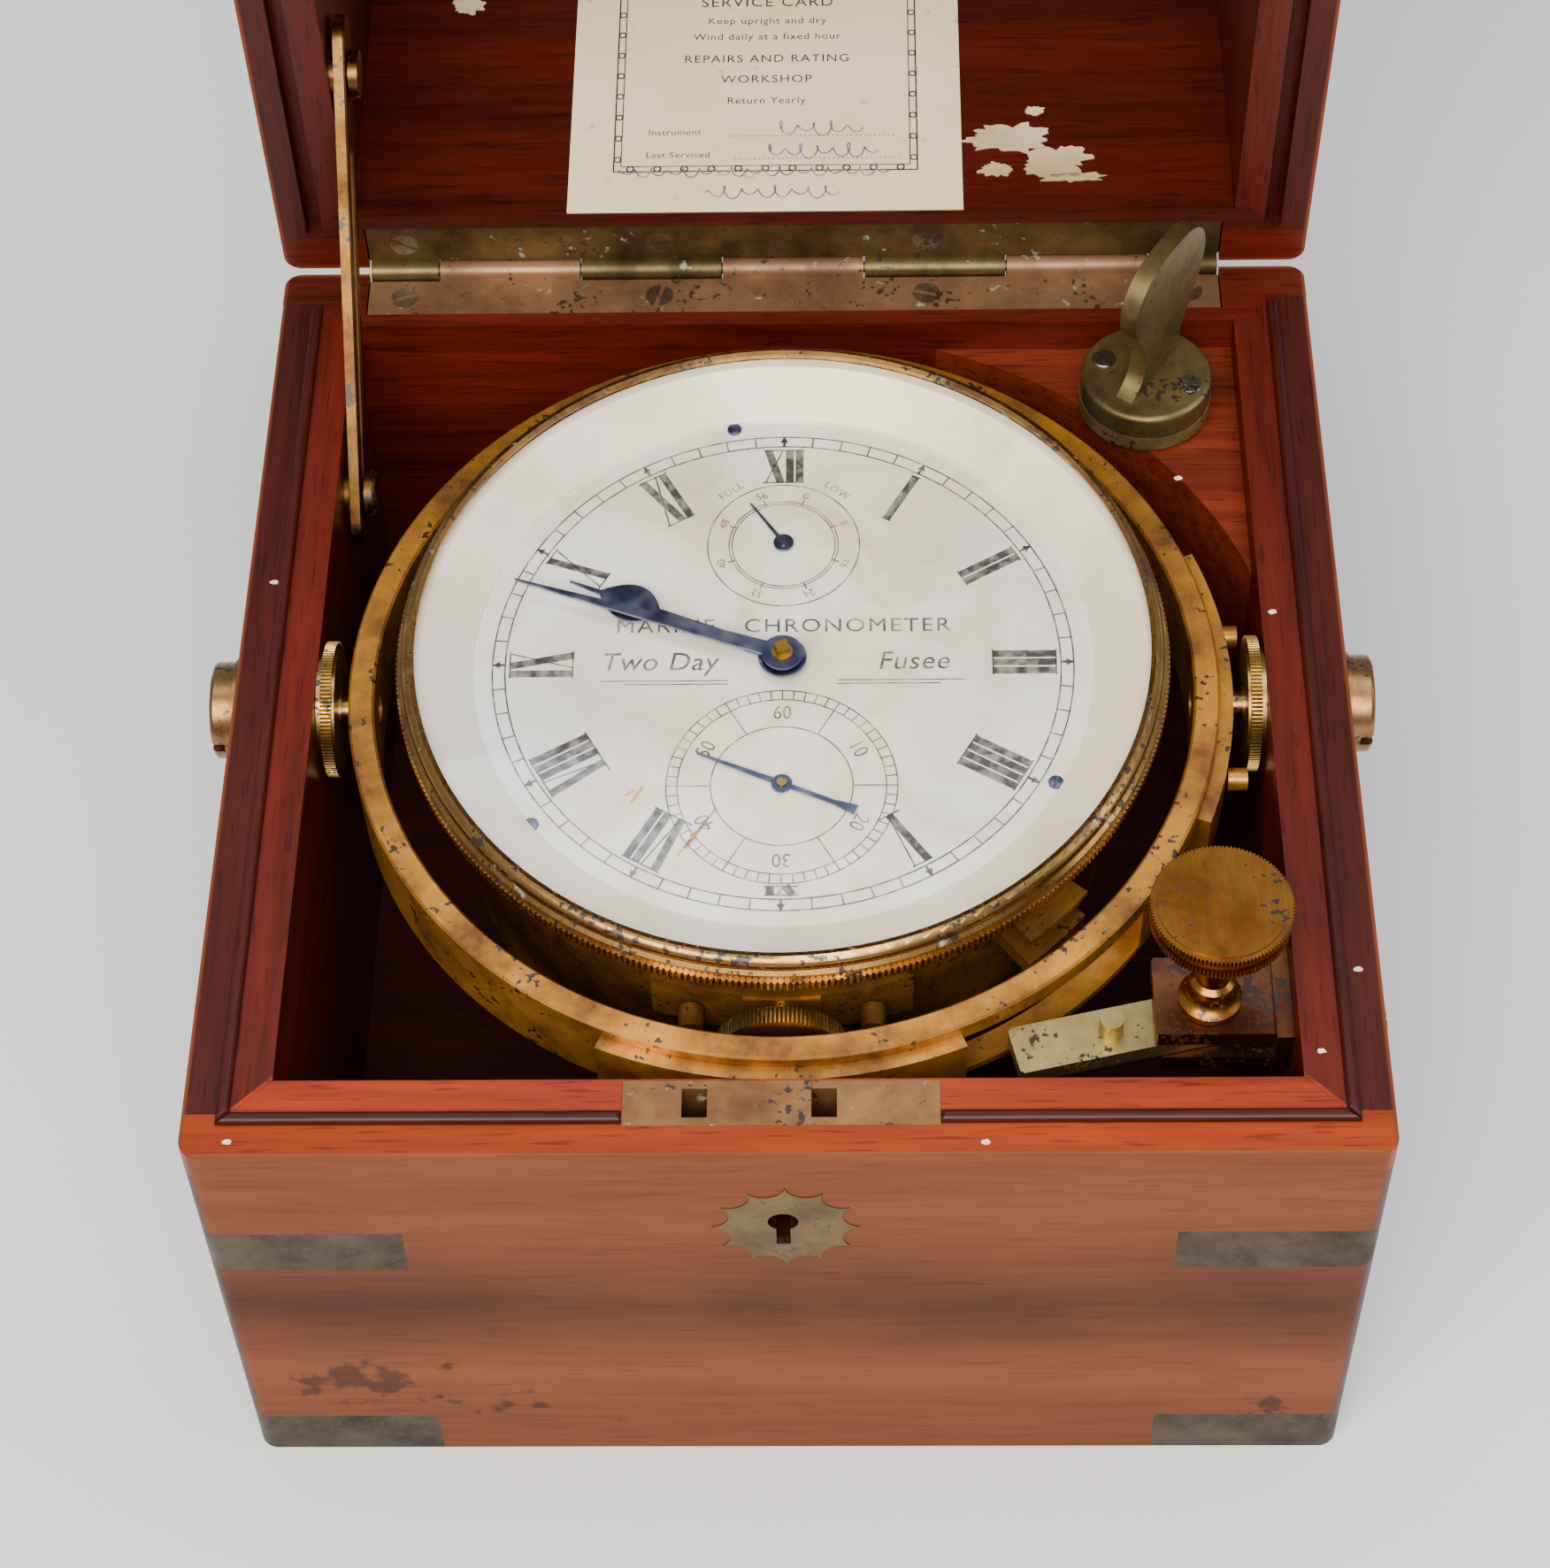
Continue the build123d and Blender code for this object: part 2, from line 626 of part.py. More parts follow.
with BuildPart() as lid_front_wall:
    with BuildSketch(LID_PLANE.offset(LID_RIM)):
        with Locations((0, (LID_BOARD - CASE_D) / 2)):
            Rectangle(CASE_W, LID_BOARD)
    extrude(amount=lid_wall_h)
    along = Axis(LID_PLANE.origin, LID_PLANE.z_dir)
    across = Axis(LID_PLANE.origin, LID_PLANE.y_dir)
    fillet(lid_front_wall.edges().filter_by(along).group_by(across)[0], CORNER_R)
    add(lid_cuts, mode=Mode.SUBTRACT)
save(lid_front_wall, "lid_front_wall")

with BuildPart() as lid_back_wall:
    with BuildSketch(LID_PLANE.offset(LID_RIM)):
        with Locations((0, (CASE_D - LID_BOARD) / 2)):
            Rectangle(CASE_W, LID_BOARD)
    extrude(amount=lid_wall_h)
    fillet(lid_back_wall.edges().filter_by(along).group_by(across)[-1], CORNER_R)
    add(lid_cuts, mode=Mode.SUBTRACT)
save(lid_back_wall, "lid_back_wall")

with BuildPart() as lid_side_walls:
    with BuildSketch(LID_PLANE.offset(LID_RIM)):
        for side in (-1, 1):
            with Locations((side * (CASE_W - LID_BOARD) / 2, 0)):
                Rectangle(LID_BOARD, CASE_D - 2 * LID_BOARD)
    extrude(amount=lid_wall_h)
    add(lid_cuts, mode=Mode.SUBTRACT)
save(lid_side_walls, "lid_side_walls")

with BuildPart() as lid_top_panel:
    with BuildSketch(LID_PLANE.offset(LID_TOP - TOP_T)):
        RectangleRounded(CASE_W, CASE_D, CORNER_R)
    extrude(amount=TOP_T)
    fillet(lid_top_panel.faces().sort_by(along)[-1].edges(), 2.0)
save(lid_top_panel, "lid_top_panel")

with BuildPart() as lid_linings:
    add(
        mitred_linings(
            LID_PLANE.offset(LID_RIM), CASE_W / 2 - LID_BOARD, CASE_D / 2 - LID_BOARD, LID_LINING, lid_wall_h
        )
    )
    add(lid_cuts, mode=Mode.SUBTRACT)
save(lid_linings, "lid_linings")

with BuildPart() as lid_lock_hooks:
    with BuildSketch(LID_PLANE.offset(LID_RIM)):
        with Locations((LOCK_X, LOCK_Y)):
            Rectangle(LOCK_W, LOCK_D)
    extrude(amount=LEAF_T)
    with BuildSketch(LID_PLANE.offset(LID_RIM)):
        with Locations(*[(x, LOCK_Y) for x in HOOK_X]):
            Rectangle(2.8, 3.4)
    extrude(amount=-9.5)
    with BuildSketch(LID_SIDE.offset(-40)):
        with Locations((LOCK_Y, 90.1)):
            Rectangle(2.6, 3.0)
    extrude(amount=80, mode=Mode.SUBTRACT)
    add(lid_wood_screws.part, mode=Mode.SUBTRACT)
save(lid_lock_hooks, "lid_lock_hooks")

with BuildPart() as lid_label:
    with BuildSketch(LID_PLANE.offset(LID_RIM + 0.4)):
        with Locations((-4.8, INNER_Y - 0.15)):
            Rectangle(70.6, 0.3)
    extrude(amount=62.0)
save(lid_label, "lid_label")

# ---------------------------------------------------------------- lid stay
stay_pivot_at = polar(STAY_R, STAY_PIVOT_ANGLE)
stay_y = HINGE_Y + stay_pivot_at[0]
stay_z = HINGE_Z + stay_pivot_at[1]
stay_dir = (0, stay_stud_at[0] - stay_pivot_at[0], stay_stud_at[1] - stay_pivot_at[1])

with BuildPart() as stay_pivot_screw:
    pivot = Plane((-INNER_X, stay_y, stay_z), (0, 1, 0), (1, 0, 0))
    for start, length, radius in ((0, 0.8, 3.6), (0.8, 2.5, 2.0), (3.3, 1.6, 4.0)):
        with BuildSketch(pivot.offset(start)):
            Circle(radius)
        extrude(amount=length)
    with BuildSketch(pivot.offset(4.9)):
        Rectangle(9, 0.9, rotation=35)
    extrude(amount=-0.9, mode=Mode.SUBTRACT)
save(stay_pivot_screw, "stay_pivot_screw")

with BuildPart() as lid_stay_arm:
    arm_plane = Plane((STAY_X - STAY_T / 2, stay_y, stay_z), stay_dir, (1, 0, 0))
    slot_mid = sum(STAY_SLOT) / 2
    with BuildSketch(arm_plane):
        with Locations((sum(STAY_ENDS) / 2, 0)):
            SlotCenterToCenter(STAY_ENDS[1] - STAY_ENDS[0], STAY_W)
        with Locations((slot_mid, 0)):
            SlotCenterToCenter(STAY_SLOT[1] - STAY_SLOT[0], 4.4, mode=Mode.SUBTRACT)
        Circle(2.0 + SLIP, mode=Mode.SUBTRACT)
    extrude(amount=STAY_T)
    chamfer(lid_stay_arm.faces().sort_by(Axis.X)[-1].edges(), 0.3)
save(lid_stay_arm, "lid_stay_arm")

# ---------------------------------------------------------------- gimbal ring
with BuildPart() as gimbal_ring:
    with BuildSketch(DIAL_PLANE.offset(RING_BOTTOM)):
        Circle(RING_R)
        Circle(RING_IN, mode=Mode.SUBTRACT)
    extrude(amount=RING_TOP - RING_BOTTOM)
    chamfer(gimbal_ring.faces().sort_by(DIAL_AXIS)[-1].edges(), 0.4)
    with BuildSketch(DIAL_SIDE.offset(-RING_R - 1)):
        Circle(PIVOT_R + SLIP)
    extrude(amount=2 * RING_R + 2, mode=Mode.SUBTRACT)
    with BuildSketch(DIAL_SECTION.offset(-RING_R - 1)):
        Circle(1.95 + 0.02)
    extrude(amount=2 * RING_R + 2, mode=Mode.SUBTRACT)
    add(ring_sector(DIAL_PLANE.offset(-6.0), 60, 80, -66.5, 29.5, 10.2), mode=Mode.SUBTRACT)
save(gimbal_ring, "gimbal_ring")


def pad_on_ring(middle, half_span):
    """Arc-shaped pad on the ring's outside, with a screw head either side of its pivot."""
    with BuildPart() as pad:
        add(
            ring_sector(
                DIAL_PLANE.offset(-7), RING_R + 0.02, PAD_OUT, middle - half_span, 2 * half_span, 12.5
            )
        )
        side_plane = Plane(GIMBAL_LOC * Location((0, 0, 0), (0, 0, middle)) * Plane.YZ.location)
        with BuildSketch(side_plane.offset(PAD_OUT - 1.2)):
            with Locations((-14.5, -1), (14.5, -1)):
                Circle(1.9)
        extrude(amount=3.2)
        with BuildSketch(side_plane.offset(60)):
            Circle(PIVOT_R + SLIP)
        extrude(amount=20, mode=Mode.SUBTRACT)
    return pad.part


with BuildPart() as ring_pivot_pads:
    add(pad_on_ring(0.0, 21.5))
    add(pad_on_ring(-90.0, 23.0))
save(ring_pivot_pads, "ring_pivot_pads")

with BuildPart() as bowl_pivots:
    for side in (-1, 1):
        out = Plane(GIMBAL_LOC * Location((0, 0, 0), (0, 0, side * 90)) * Plane.YZ.location)
        seat = PAD_OUT if side < 0 else RING_R + 0.02
        add(slotted_screw(out.offset(seat), 4.6, 1.6, 1.95, seat - 58.9, 1.0, 25))
        with BuildSketch(out.offset(56.0)):
            Circle(1.6)
        extrude(amount=3.2)
        add(milled_disc(out.offset(64.0), 10.4, 0.4, 96, NUT_T - 0.1))
save(bowl_pivots, "bowl_pivots")

# ---------------------------------------------------------------- bowl, bezel and dial
with BuildPart() as bowl:
    with BuildSketch(DIAL_SECTION):
        with BuildLine():
            Polyline((0, BOWL_FLOOR), (40, BOWL_FLOOR))
            ThreePointArc((40, BOWL_FLOOR), (40 + 15 * sin(pi / 4), -32 - 15 * cos(pi / 4)), (55, -32))
            Polyline(
                (55, -32), (55, 7.5), (59.4, 10), (59.4, 13.7), (54.4, 13.7), (53.2, 12.9), (53.2, 4.4),
                (51, 4.4), (51, -32)
            )
            ThreePointArc((51, -32), (38.5 + 12.5 * sin(pi / 4), -32 - 12.5 * cos(pi / 4)), (38.5, -44.5))
            Polyline((38.5, -44.5), (0, -44.5), (0, BOWL_FLOOR))
        make_face()
    revolve(axis=DIAL_AXIS)
    for middle in (-90, 90):
        add(ring_sector(DIAL_PLANE.offset(-7), BOWL_R - 0.5, 58.4, middle - 21, 42, 10.5))
        side_plane = Plane(GIMBAL_LOC * Location((0, 0, 0), (0, 0, middle)) * Plane.YZ.location)
        with BuildSketch(side_plane.offset(57.5)):
            with Locations((-14.5, -1.5), (14.5, -1.5)):
                Circle(2.0)
        extrude(amount=4.0)
        with BuildSketch(side_plane.offset(57.0)):
            with Locations((0, -1)):
                Rectangle(12.4, 8)
        extrude(amount=1.8)
        with BuildSketch(side_plane.offset(55.8)):
            Circle(1.6 + SLIP)
        extrude(amount=6, mode=Mode.SUBTRACT)
    add(ring_sector(DIAL_PLANE.offset(-6), BOWL_R - 0.5, 63, -51, 12, 10.5))
    add(ring_sector(DIAL_PLANE.offset(-2.6), 56, 65, -52, 14, 5.8), mode=Mode.SUBTRACT)
save(bowl, "bowl")

with BuildPart() as bezel:
    with BuildSketch(DIAL_SECTION):
        with BuildLine():
            Polyline((60.1, 19.4), (60.1, 19.9), (60.9, 20.1))
            ThreePointArc((60.9, 20.1), (62.1, 19.3), (62.3, 18.0))
            Polyline((62.3, 18.0), (62.9, 17.4), (62.9, 13.75), (59.7, 13.75), (59.7, 17.1), (61.05, 17.1))
            Polyline((61.05, 17.1), (61.05, 19.4), (60.1, 19.4))
        make_face()
    revolve(axis=DIAL_AXIS)
    add(milled_disc(DIAL_PLANE.offset(14.1), BEZEL_R, 0.45, 400, 1.9, 62.0))
save(bezel, "bezel")

with BuildPart() as bezel_glass:
    with BuildSketch(DIAL_PLANE.offset(17.8)):
        Circle(GLASS_R)
    extrude(amount=1.5)
save(bezel_glass, "bezel_glass")

with BuildPart() as reflector_ring:
    with BuildSketch(DIAL_SECTION):
        with BuildLine():
            Polyline(
                (51.3, 12.45), (51.3, 12.9), (59.3, 17.75), (60.9, 17.75), (60.9, 17.15), (59.5, 17.15),
                (52.1, 12.45), close=True
            )
        make_face()
    revolve(axis=DIAL_AXIS)
save(reflector_ring, "reflector_ring")

with BuildPart() as dial:
    with BuildSketch(DIAL_PLANE.offset(PILLAR_PLATE[1])):
        with Locations(*DIAL_SCREWS):
            Circle(1.2)
    extrude(amount=DIAL_Z - 1.2 - PILLAR_PLATE[1])
    with BuildSketch(DIAL_PLANE.offset(DIAL_Z - 1.2)):
        Circle(DIAL_R)
        Circle(2.8, mode=Mode.SUBTRACT)
        with Locations((0, SECONDS_Y), (0, UPDOWN_Y)):
            Circle(1.1, mode=Mode.SUBTRACT)
    extrude(amount=1.2)
save(dial, "dial")

# ---------------------------------------------------------------- movement
CENTRE = (0.0, 0.0)
THIRD = (10.07, -12.69)
FOURTH = (0.0, SECONDS_Y)
ESCAPE = (-13.954, -29.279)
FUSEE = (17.925, 15.041)
BARREL = (-21.0, 14.0)
BALANCE = (-18.6, -21.2)
MINUTE_WHEEL = (8.0, 0.0)
TRAIN_MODULE = 0.36
FOURTH_MODULE = 0.33
GREAT_MODULE = 0.45
MOTION_MODULE = 0.4
ARBORS = [THIRD, FOURTH, ESCAPE]
PILLARS = [polar(45, angle) for angle in (5, 95, 215, 300)]


def direction(start, end):
    """Angle from one arbor to another, in degrees."""
    return degrees(atan2(end[1] - start[1], end[0] - start[0]))


def arbor_plane(place, z):
    """Plane square to the dial at an arbor, at a height in the gimbal's frame."""
    return Plane(GIMBAL_LOC * Location((place[0], place[1], z)))


def rod(place, low, high, radius):
    """Plain round rod on an arbor's line."""
    with BuildPart() as plain:
        with BuildSketch(arbor_plane(place, low)):
            Circle(radius)
        extrude(amount=high - low)
    return plain.part


def plate_holes():
    """Pivot holes through the plates."""
    with BuildPart() as holes:
        for place in ARBORS:
            add(rod(place, -21, 8, 0.8 + SLIP))
        add(rod(CENTRE, -21, 8, 1.2 + SLIP))
        add(rod(FUSEE, -21, 8, 1.6 + SLIP))
        add(rod(BARREL, -21, 8, 1.6 + SLIP))
    return holes.part


pivot_holes = plate_holes()

with BuildPart() as pillar_plate:
    with BuildSketch(DIAL_PLANE.offset(PILLAR_PLATE[0])):
        Circle(52.8)
    extrude(amount=PILLAR_PLATE[1] - PILLAR_PLATE[0])
    for pillar in PILLARS:
        add(rod(pillar, TOP_PLATE[1], PILLAR_PLATE[0], 2.5))
    add(rod(MINUTE_WHEEL, PILLAR_PLATE[1], 10.6, 0.6))
    add(pivot_holes, mode=Mode.SUBTRACT)
    add(rod((0.0, UPDOWN_Y), 4, 8, 0.8 + SLIP), mode=Mode.SUBTRACT)
save(pillar_plate, "pillar_plate")

with BuildPart() as top_plate:
    with BuildSketch(DIAL_PLANE.offset(TOP_PLATE[0])):
        Circle(49.5)
    extrude(amount=TOP_PLATE[1] - TOP_PLATE[0])
    add(pivot_holes, mode=Mode.SUBTRACT)
    add(rod(BALANCE, -21, -17, 0.8 + SLIP), mode=Mode.SUBTRACT)
save(top_plate, "top_plate")

with BuildPart() as balance_cock:
    foot = polar(46.2, direction(CENTRE, BALANCE))
    reach = sqrt((foot[0] - BALANCE[0]) ** 2 + (foot[1] - BALANCE[1]) ** 2)
    arm = Plane(GIMBAL_LOC * Location((*foot, TOP_PLATE[0]), (0, 0, direction(foot, BALANCE))))
    with BuildSketch(arm):
        Rectangle(2.6, 9)
    extrude(amount=-16.5)
    with BuildSketch(arm.offset(-13.8)):
        with Locations((reach / 2, 0)):
            SlotCenterToCenter(reach, 6)
    extrude(amount=-2.7)
    add(rod(BALANCE, -38, -30, 0.8 + SLIP), mode=Mode.SUBTRACT)
save(balance_cock, "balance_cock")

with BuildPart() as spring_barrel:
    add(rod(BARREL, -11, 2.6, 16.8))
    add(rod(BARREL, -20.5, 6.8, 1.6))
save(spring_barrel, "spring_barrel")

with BuildPart() as fusee:
    to_centre = direction(FUSEE, CENTRE)
    add(gear(arbor_plane(FUSEE, 1.6), 90, GREAT_MODULE, 1.4, to_centre))
    with BuildSketch(arbor_plane(FUSEE, 1.6)):
        Circle(14.5)
    extrude(amount=-12, taper=28)
    add(rod(FUSEE, -20.5, 6.8, 1.6))
save(fusee, "fusee")

with BuildPart() as centre_wheel:
    add(rod(CENTRE, -20.4, 8.8, 1.2))
    add(rod(CENTRE, 8.8, 15.9, 1.7))
    with BuildSketch(arbor_plane(CENTRE, 15.9)):
        Rectangle(2.2, 2.2, rotation=20)
    extrude(amount=1.5)
    add(gear(arbor_plane(CENTRE, -14), 80, TRAIN_MODULE, 1.0, direction(CENTRE, THIRD), crossings=5))
    add(gear(arbor_plane(CENTRE, 1.2), 14, GREAT_MODULE, 2.4, direction(CENTRE, FUSEE) + 180 / 14))
    add(gear(arbor_plane(CENTRE, 7.4), 10, MOTION_MODULE, 1.1, direction(CENTRE, MINUTE_WHEEL) + 18))
save(centre_wheel, "centre_wheel")

with BuildPart() as third_wheel:
    add(rod(THIRD, -20.4, 6.9, 0.8))
    add(gear(arbor_plane(THIRD, -14.4), 10, TRAIN_MODULE, 1.8, direction(THIRD, CENTRE) + 18))
    add(gear(arbor_plane(THIRD, -6), 75, TRAIN_MODULE, 1.0, direction(THIRD, FOURTH), crossings=5))
save(third_wheel, "third_wheel")

with BuildPart() as fourth_wheel:
    add(rod(FOURTH, -20.4, 13.6, 0.8))
    add(gear(arbor_plane(FOURTH, -6.5), 10, TRAIN_MODULE, 2.0, direction(FOURTH, THIRD) + 18))
    add(gear(arbor_plane(FOURTH, -1), 80, FOURTH_MODULE, 1.0, direction(FOURTH, ESCAPE), crossings=4))
save(fourth_wheel, "fourth_wheel")

with BuildPart() as escape_wheel:
    add(rod(ESCAPE, -20.4, 6.9, 0.8))
    add(gear(arbor_plane(ESCAPE, -1.5), 10, FOURTH_MODULE, 2.0, direction(ESCAPE, FOURTH) + 18))
    with BuildSketch(arbor_plane(ESCAPE, -15.5)):
        Circle(4.6)
        Circle(3.8, mode=Mode.SUBTRACT)
        with PolarLocations(2.2, 3):
            Rectangle(4, 0.8)
        with PolarLocations(5.1, 15):
            Rectangle(1.9, 0.5, rotation=-25)
    extrude(amount=1.0)
save(escape_wheel, "escape_wheel")

with BuildPart() as detent:
    with BuildSketch(arbor_plane((-6.9, -36.5), -18)):
        Rectangle(3.4, 3.4)
    extrude(amount=4.0)
    with BuildSketch(arbor_plane((-6.9, -30.0), -15.6)):
        Rectangle(0.4, 11)
    extrude(amount=1.1)
save(detent, "detent")

with BuildPart() as balance:
    add(rod(BALANCE, -36.8, -18.2, 0.8))
    with BuildSketch(arbor_plane(BALANCE, -26)):
        Circle(13.5)
        Circle(12.0, mode=Mode.SUBTRACT)
        Rectangle(25, 2.4)
        Circle(2.5)
        with PolarLocations(12.9, 2, start_angle=60):
            Circle(2.0)
    extrude(amount=2.4)
save(balance, "balance")

with BuildPart() as hairspring:
    spring_r = 4.0
    wire_r = 0.28
    turns = [-27.2 - 1.1 * turn for turn in range(6)]
    for z in turns:
        with BuildSketch(Plane(GIMBAL_LOC * Location((*BALANCE, z)) * Plane.XZ.location)):
            with Locations((spring_r, 0)):
                Circle(wire_r)
        revolve(axis=Axis(arbor_plane(BALANCE, 0).origin, DIAL_PLANE.z_dir))
    add(rod((BALANCE[0] + spring_r, BALANCE[1]), turns[-1] - 1.6, turns[0] + 0.3, 0.25))
save(hairspring, "hairspring")

# ---------------------------------------------------------------- motion work and hands
with BuildPart() as minute_wheel:
    add(gear(arbor_plane(MINUTE_WHEEL, 7.5), 30, MOTION_MODULE, 0.8, direction(MINUTE_WHEEL, CENTRE)))
    add(gear(arbor_plane(MINUTE_WHEEL, 8.2), 8, MOTION_MODULE, 1.7, direction(MINUTE_WHEEL, CENTRE) + 22.5))
    add(rod(MINUTE_WHEEL, 7.0, 10.6, 0.6 + SLIP), mode=Mode.SUBTRACT)
save(minute_wheel, "minute_wheel")

with BuildPart() as hour_wheel:
    add(gear(arbor_plane(CENTRE, 9.0), 32, MOTION_MODULE, 0.8, direction(CENTRE, MINUTE_WHEEL)))
    add(rod(CENTRE, 9.0, 14.5, 2.4))
    add(rod(CENTRE, 8.5, 15, 1.7 + SLIP), mode=Mode.SUBTRACT)
save(hour_wheel, "hour_wheel")


def pointer(place, z, thickness, angle, length, boss_r, bore, spade_r=0.0, tail=0.0):
    """Hand with a round boss and a tapering blade, and a spade or a tail if asked for."""
    plane = Plane(GIMBAL_LOC * Location((*place, z), (0, 0, angle)))
    knee = length * 0.66
    half = 1.4 * min(1.0, length / 40)
    with BuildPart() as hand:
        with BuildSketch(plane):
            Circle(boss_r)
            with BuildLine():
                Polyline((0, -half), (knee, -half / 2), (length, -0.12), (length, 0.12))
                Polyline((length, 0.12), (knee, half / 2), (0, half), (0, -half))
            make_face()
            if spade_r:
                point = (knee + 2.2 * spade_r, 0)
                with BuildLine():
                    Spline((knee - spade_r, 0), (knee + 0.2 * spade_r, spade_r), point)
                    Spline(point, (knee + 0.2 * spade_r, -spade_r), (knee - spade_r, 0))
                make_face()
            if tail:
                with BuildLine():
                    Polyline((0, 0.4), (-0.7 * tail, 0.35), (-tail, 0.9), (-tail, -0.9))
                    Polyline((-tail, -0.9), (-0.7 * tail, -0.35), (0, -0.4), (0, 0.4))
                make_face()
            Circle(bore, mode=Mode.SUBTRACT)
        extrude(amount=thickness)
    return hand.part


with BuildPart() as hour_hand:
    add(pointer(CENTRE, 13.9, 0.5, 156.0, 39.0, 4.0, 2.42, spade_r=3.6))
save(hour_hand, "hour_hand")

with BuildPart() as minute_hand:
    add(pointer(CENTRE, 15.2, 0.5, 161.0, 47.3, 3.4, 1.72))
save(minute_hand, "minute_hand")

with BuildPart() as seconds_hand:
    add(pointer(FOURTH, 12.8, 0.4, 156.5, 15.1, 1.7, 0.82, tail=13.0))
save(seconds_hand, "seconds_hand")

with BuildPart() as up_down_hand:
    add(pointer((0.0, UPDOWN_Y), 12.8, 0.4, 124.0, 10.1, 1.7, 0.3))
    add(rod((0.0, UPDOWN_Y), 4.6, 13.5, 0.8))
save(up_down_hand, "up_down_hand")


# ---------------------------------------------------------------- gimbal lock
with BuildPart() as lock_arm:
    arm_plane = Plane((*LOCK_PIVOT, ARM_Z), polar(1.0, ARM_ANGLE) + (0,), (0, 0, 1))
    with BuildSketch(arm_plane):
        Circle(ARM_W / 2)
        with Locations((ARM_LENGTH / 2, 0)):
            Rectangle(ARM_LENGTH, ARM_W)
    extrude(amount=ARM_T)
    chamfer(lock_arm.edges().filter_by(Axis.Z).sort_by(Axis.X)[:2], 0.6)
    with BuildSketch(arm_plane):
        with Locations((ARM_STUD, 0)):
            Circle(1.9)
    extrude(amount=6.6)
    with BuildSketch(arm_plane):
        with Locations((ARM_STUD, 0)):
            Circle(1.6)
    extrude(amount=-9)
    with BuildSketch(arm_plane):
        Circle(2.5 + SLIP)
    extrude(amount=ARM_T, mode=Mode.SUBTRACT)
save(lock_arm, "lock_arm")

with BuildPart() as thumb_screw:
    with BuildSketch(Plane((*LOCK_PIVOT, 0), (1, 0, 0), (0, -1, 0))):
        with BuildLine():
            Polyline((0, 79.8), (2.5, 79.8), (2.5, 89.5), (5.0, 89.5), (5.0, 90.7), (4.5, 91.0))
            ThreePointArc((4.5, 91.0), (3.4, 92.2), (3.1, 93.6))
            Polyline((3.1, 93.6), (3.5, 94.2), (3.5, 95.2), (2.7, 96.0), (2.7, 109.5), (9.9, 111.0))
            Polyline((9.9, 111.0), (9.9, 115.5), (0, 115.5), (0, 79.8))
        make_face()
    revolve(axis=Axis((*LOCK_PIVOT, 0), (0, 0, 1)))
    add(milled_disc(Plane((*LOCK_PIVOT, 113.9)), 10.9, 0.4, 110, 1.4))
    add(milled_disc(Plane((*LOCK_PIVOT, 111.0)), 10.7, 0.4, 110, 1.6))
save(thumb_screw, "thumb_screw")

# ---------------------------------------------------------------- winding key
with BuildPart() as key_body:
    with BuildSketch(Plane((*KEY_AT, BLOCK_TOP + 0.3))):
        Circle(KEY_R)
    extrude(amount=3.4)
    fillet(key_body.faces().sort_by(Axis.Z)[0].edges(), 0.8)
    with BuildSketch(Plane((*KEY_AT, BLOCK_TOP + 3.7))):
        Circle(4.0)
    extrude(amount=2.3)
    with BuildSketch(Plane((*KEY_AT, BLOCK_TOP + 0.3))):
        Circle(3.3)
    extrude(amount=-38)
    with BuildSketch(Plane((*KEY_AT, BLOCK_TOP - 38))):
        Rectangle(3.2, 3.2)
    extrude(amount=18, mode=Mode.SUBTRACT)
save(key_body, "key_body")

with BuildPart() as key_screws:
    for side in (-1, 1):
        spot = polar(side * 8.0, KEY_PLATE_ANGLE - 80)
        top = Plane((KEY_AT[0] + spot[0], KEY_AT[1] + spot[1], KEY_HEAD_TOP - 0.25))
        add(slotted_screw(top, 2.1, 0.6, 0.9, 0.2, 0.6, 60 * side))
save(key_screws, "key_screws")

key_head_z = BLOCK_TOP + 3.8
with BuildPart() as key_head:
    with BuildSketch(Plane((*KEY_AT, key_head_z))):
        Circle(KEY_R - 0.1)
    extrude(amount=KEY_HEAD_TOP - key_head_z)
    fillet(key_head.faces().sort_by(Axis.Z)[-1].edges(), 1.0)
    plate_dir = polar(1.0, KEY_PLATE_ANGLE)
    thumb = Plane((*KEY_AT, KEY_HEAD_TOP), (*plate_dir, 0), (plate_dir[1], -plate_dir[0], 0))
    with BuildSketch(thumb.offset(-1.6)):
        with BuildLine():
            Polyline((-8.0, 0), (-8.0, -1), (8.3, -1), (8.3, 0))
            Spline(
                (8.3, 0), (8.9, 4.5), (11.6, 10.0), (14.6, 16.0), (14.4, 23.0), (10.0, 27.2), (3.0, 28.0),
                (-4.0, 26.8), (-8.4, 21.5), (-7.6, 15.5), (-4.4, 9.5), (-3.6, 5.2), (-8.0, 0)
            )
        make_face()
    extrude(amount=3.2)
    with BuildSketch(Plane((*KEY_AT, key_head_z))):
        Circle(4.0 + SLIP)
    extrude(amount=2.3, mode=Mode.SUBTRACT)
    add(key_screws.part, mode=Mode.SUBTRACT)
save(key_head, "key_head")
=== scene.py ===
"""Finishes, engraving, printing and small fittings of a boxed marine chronometer with its lid open."""

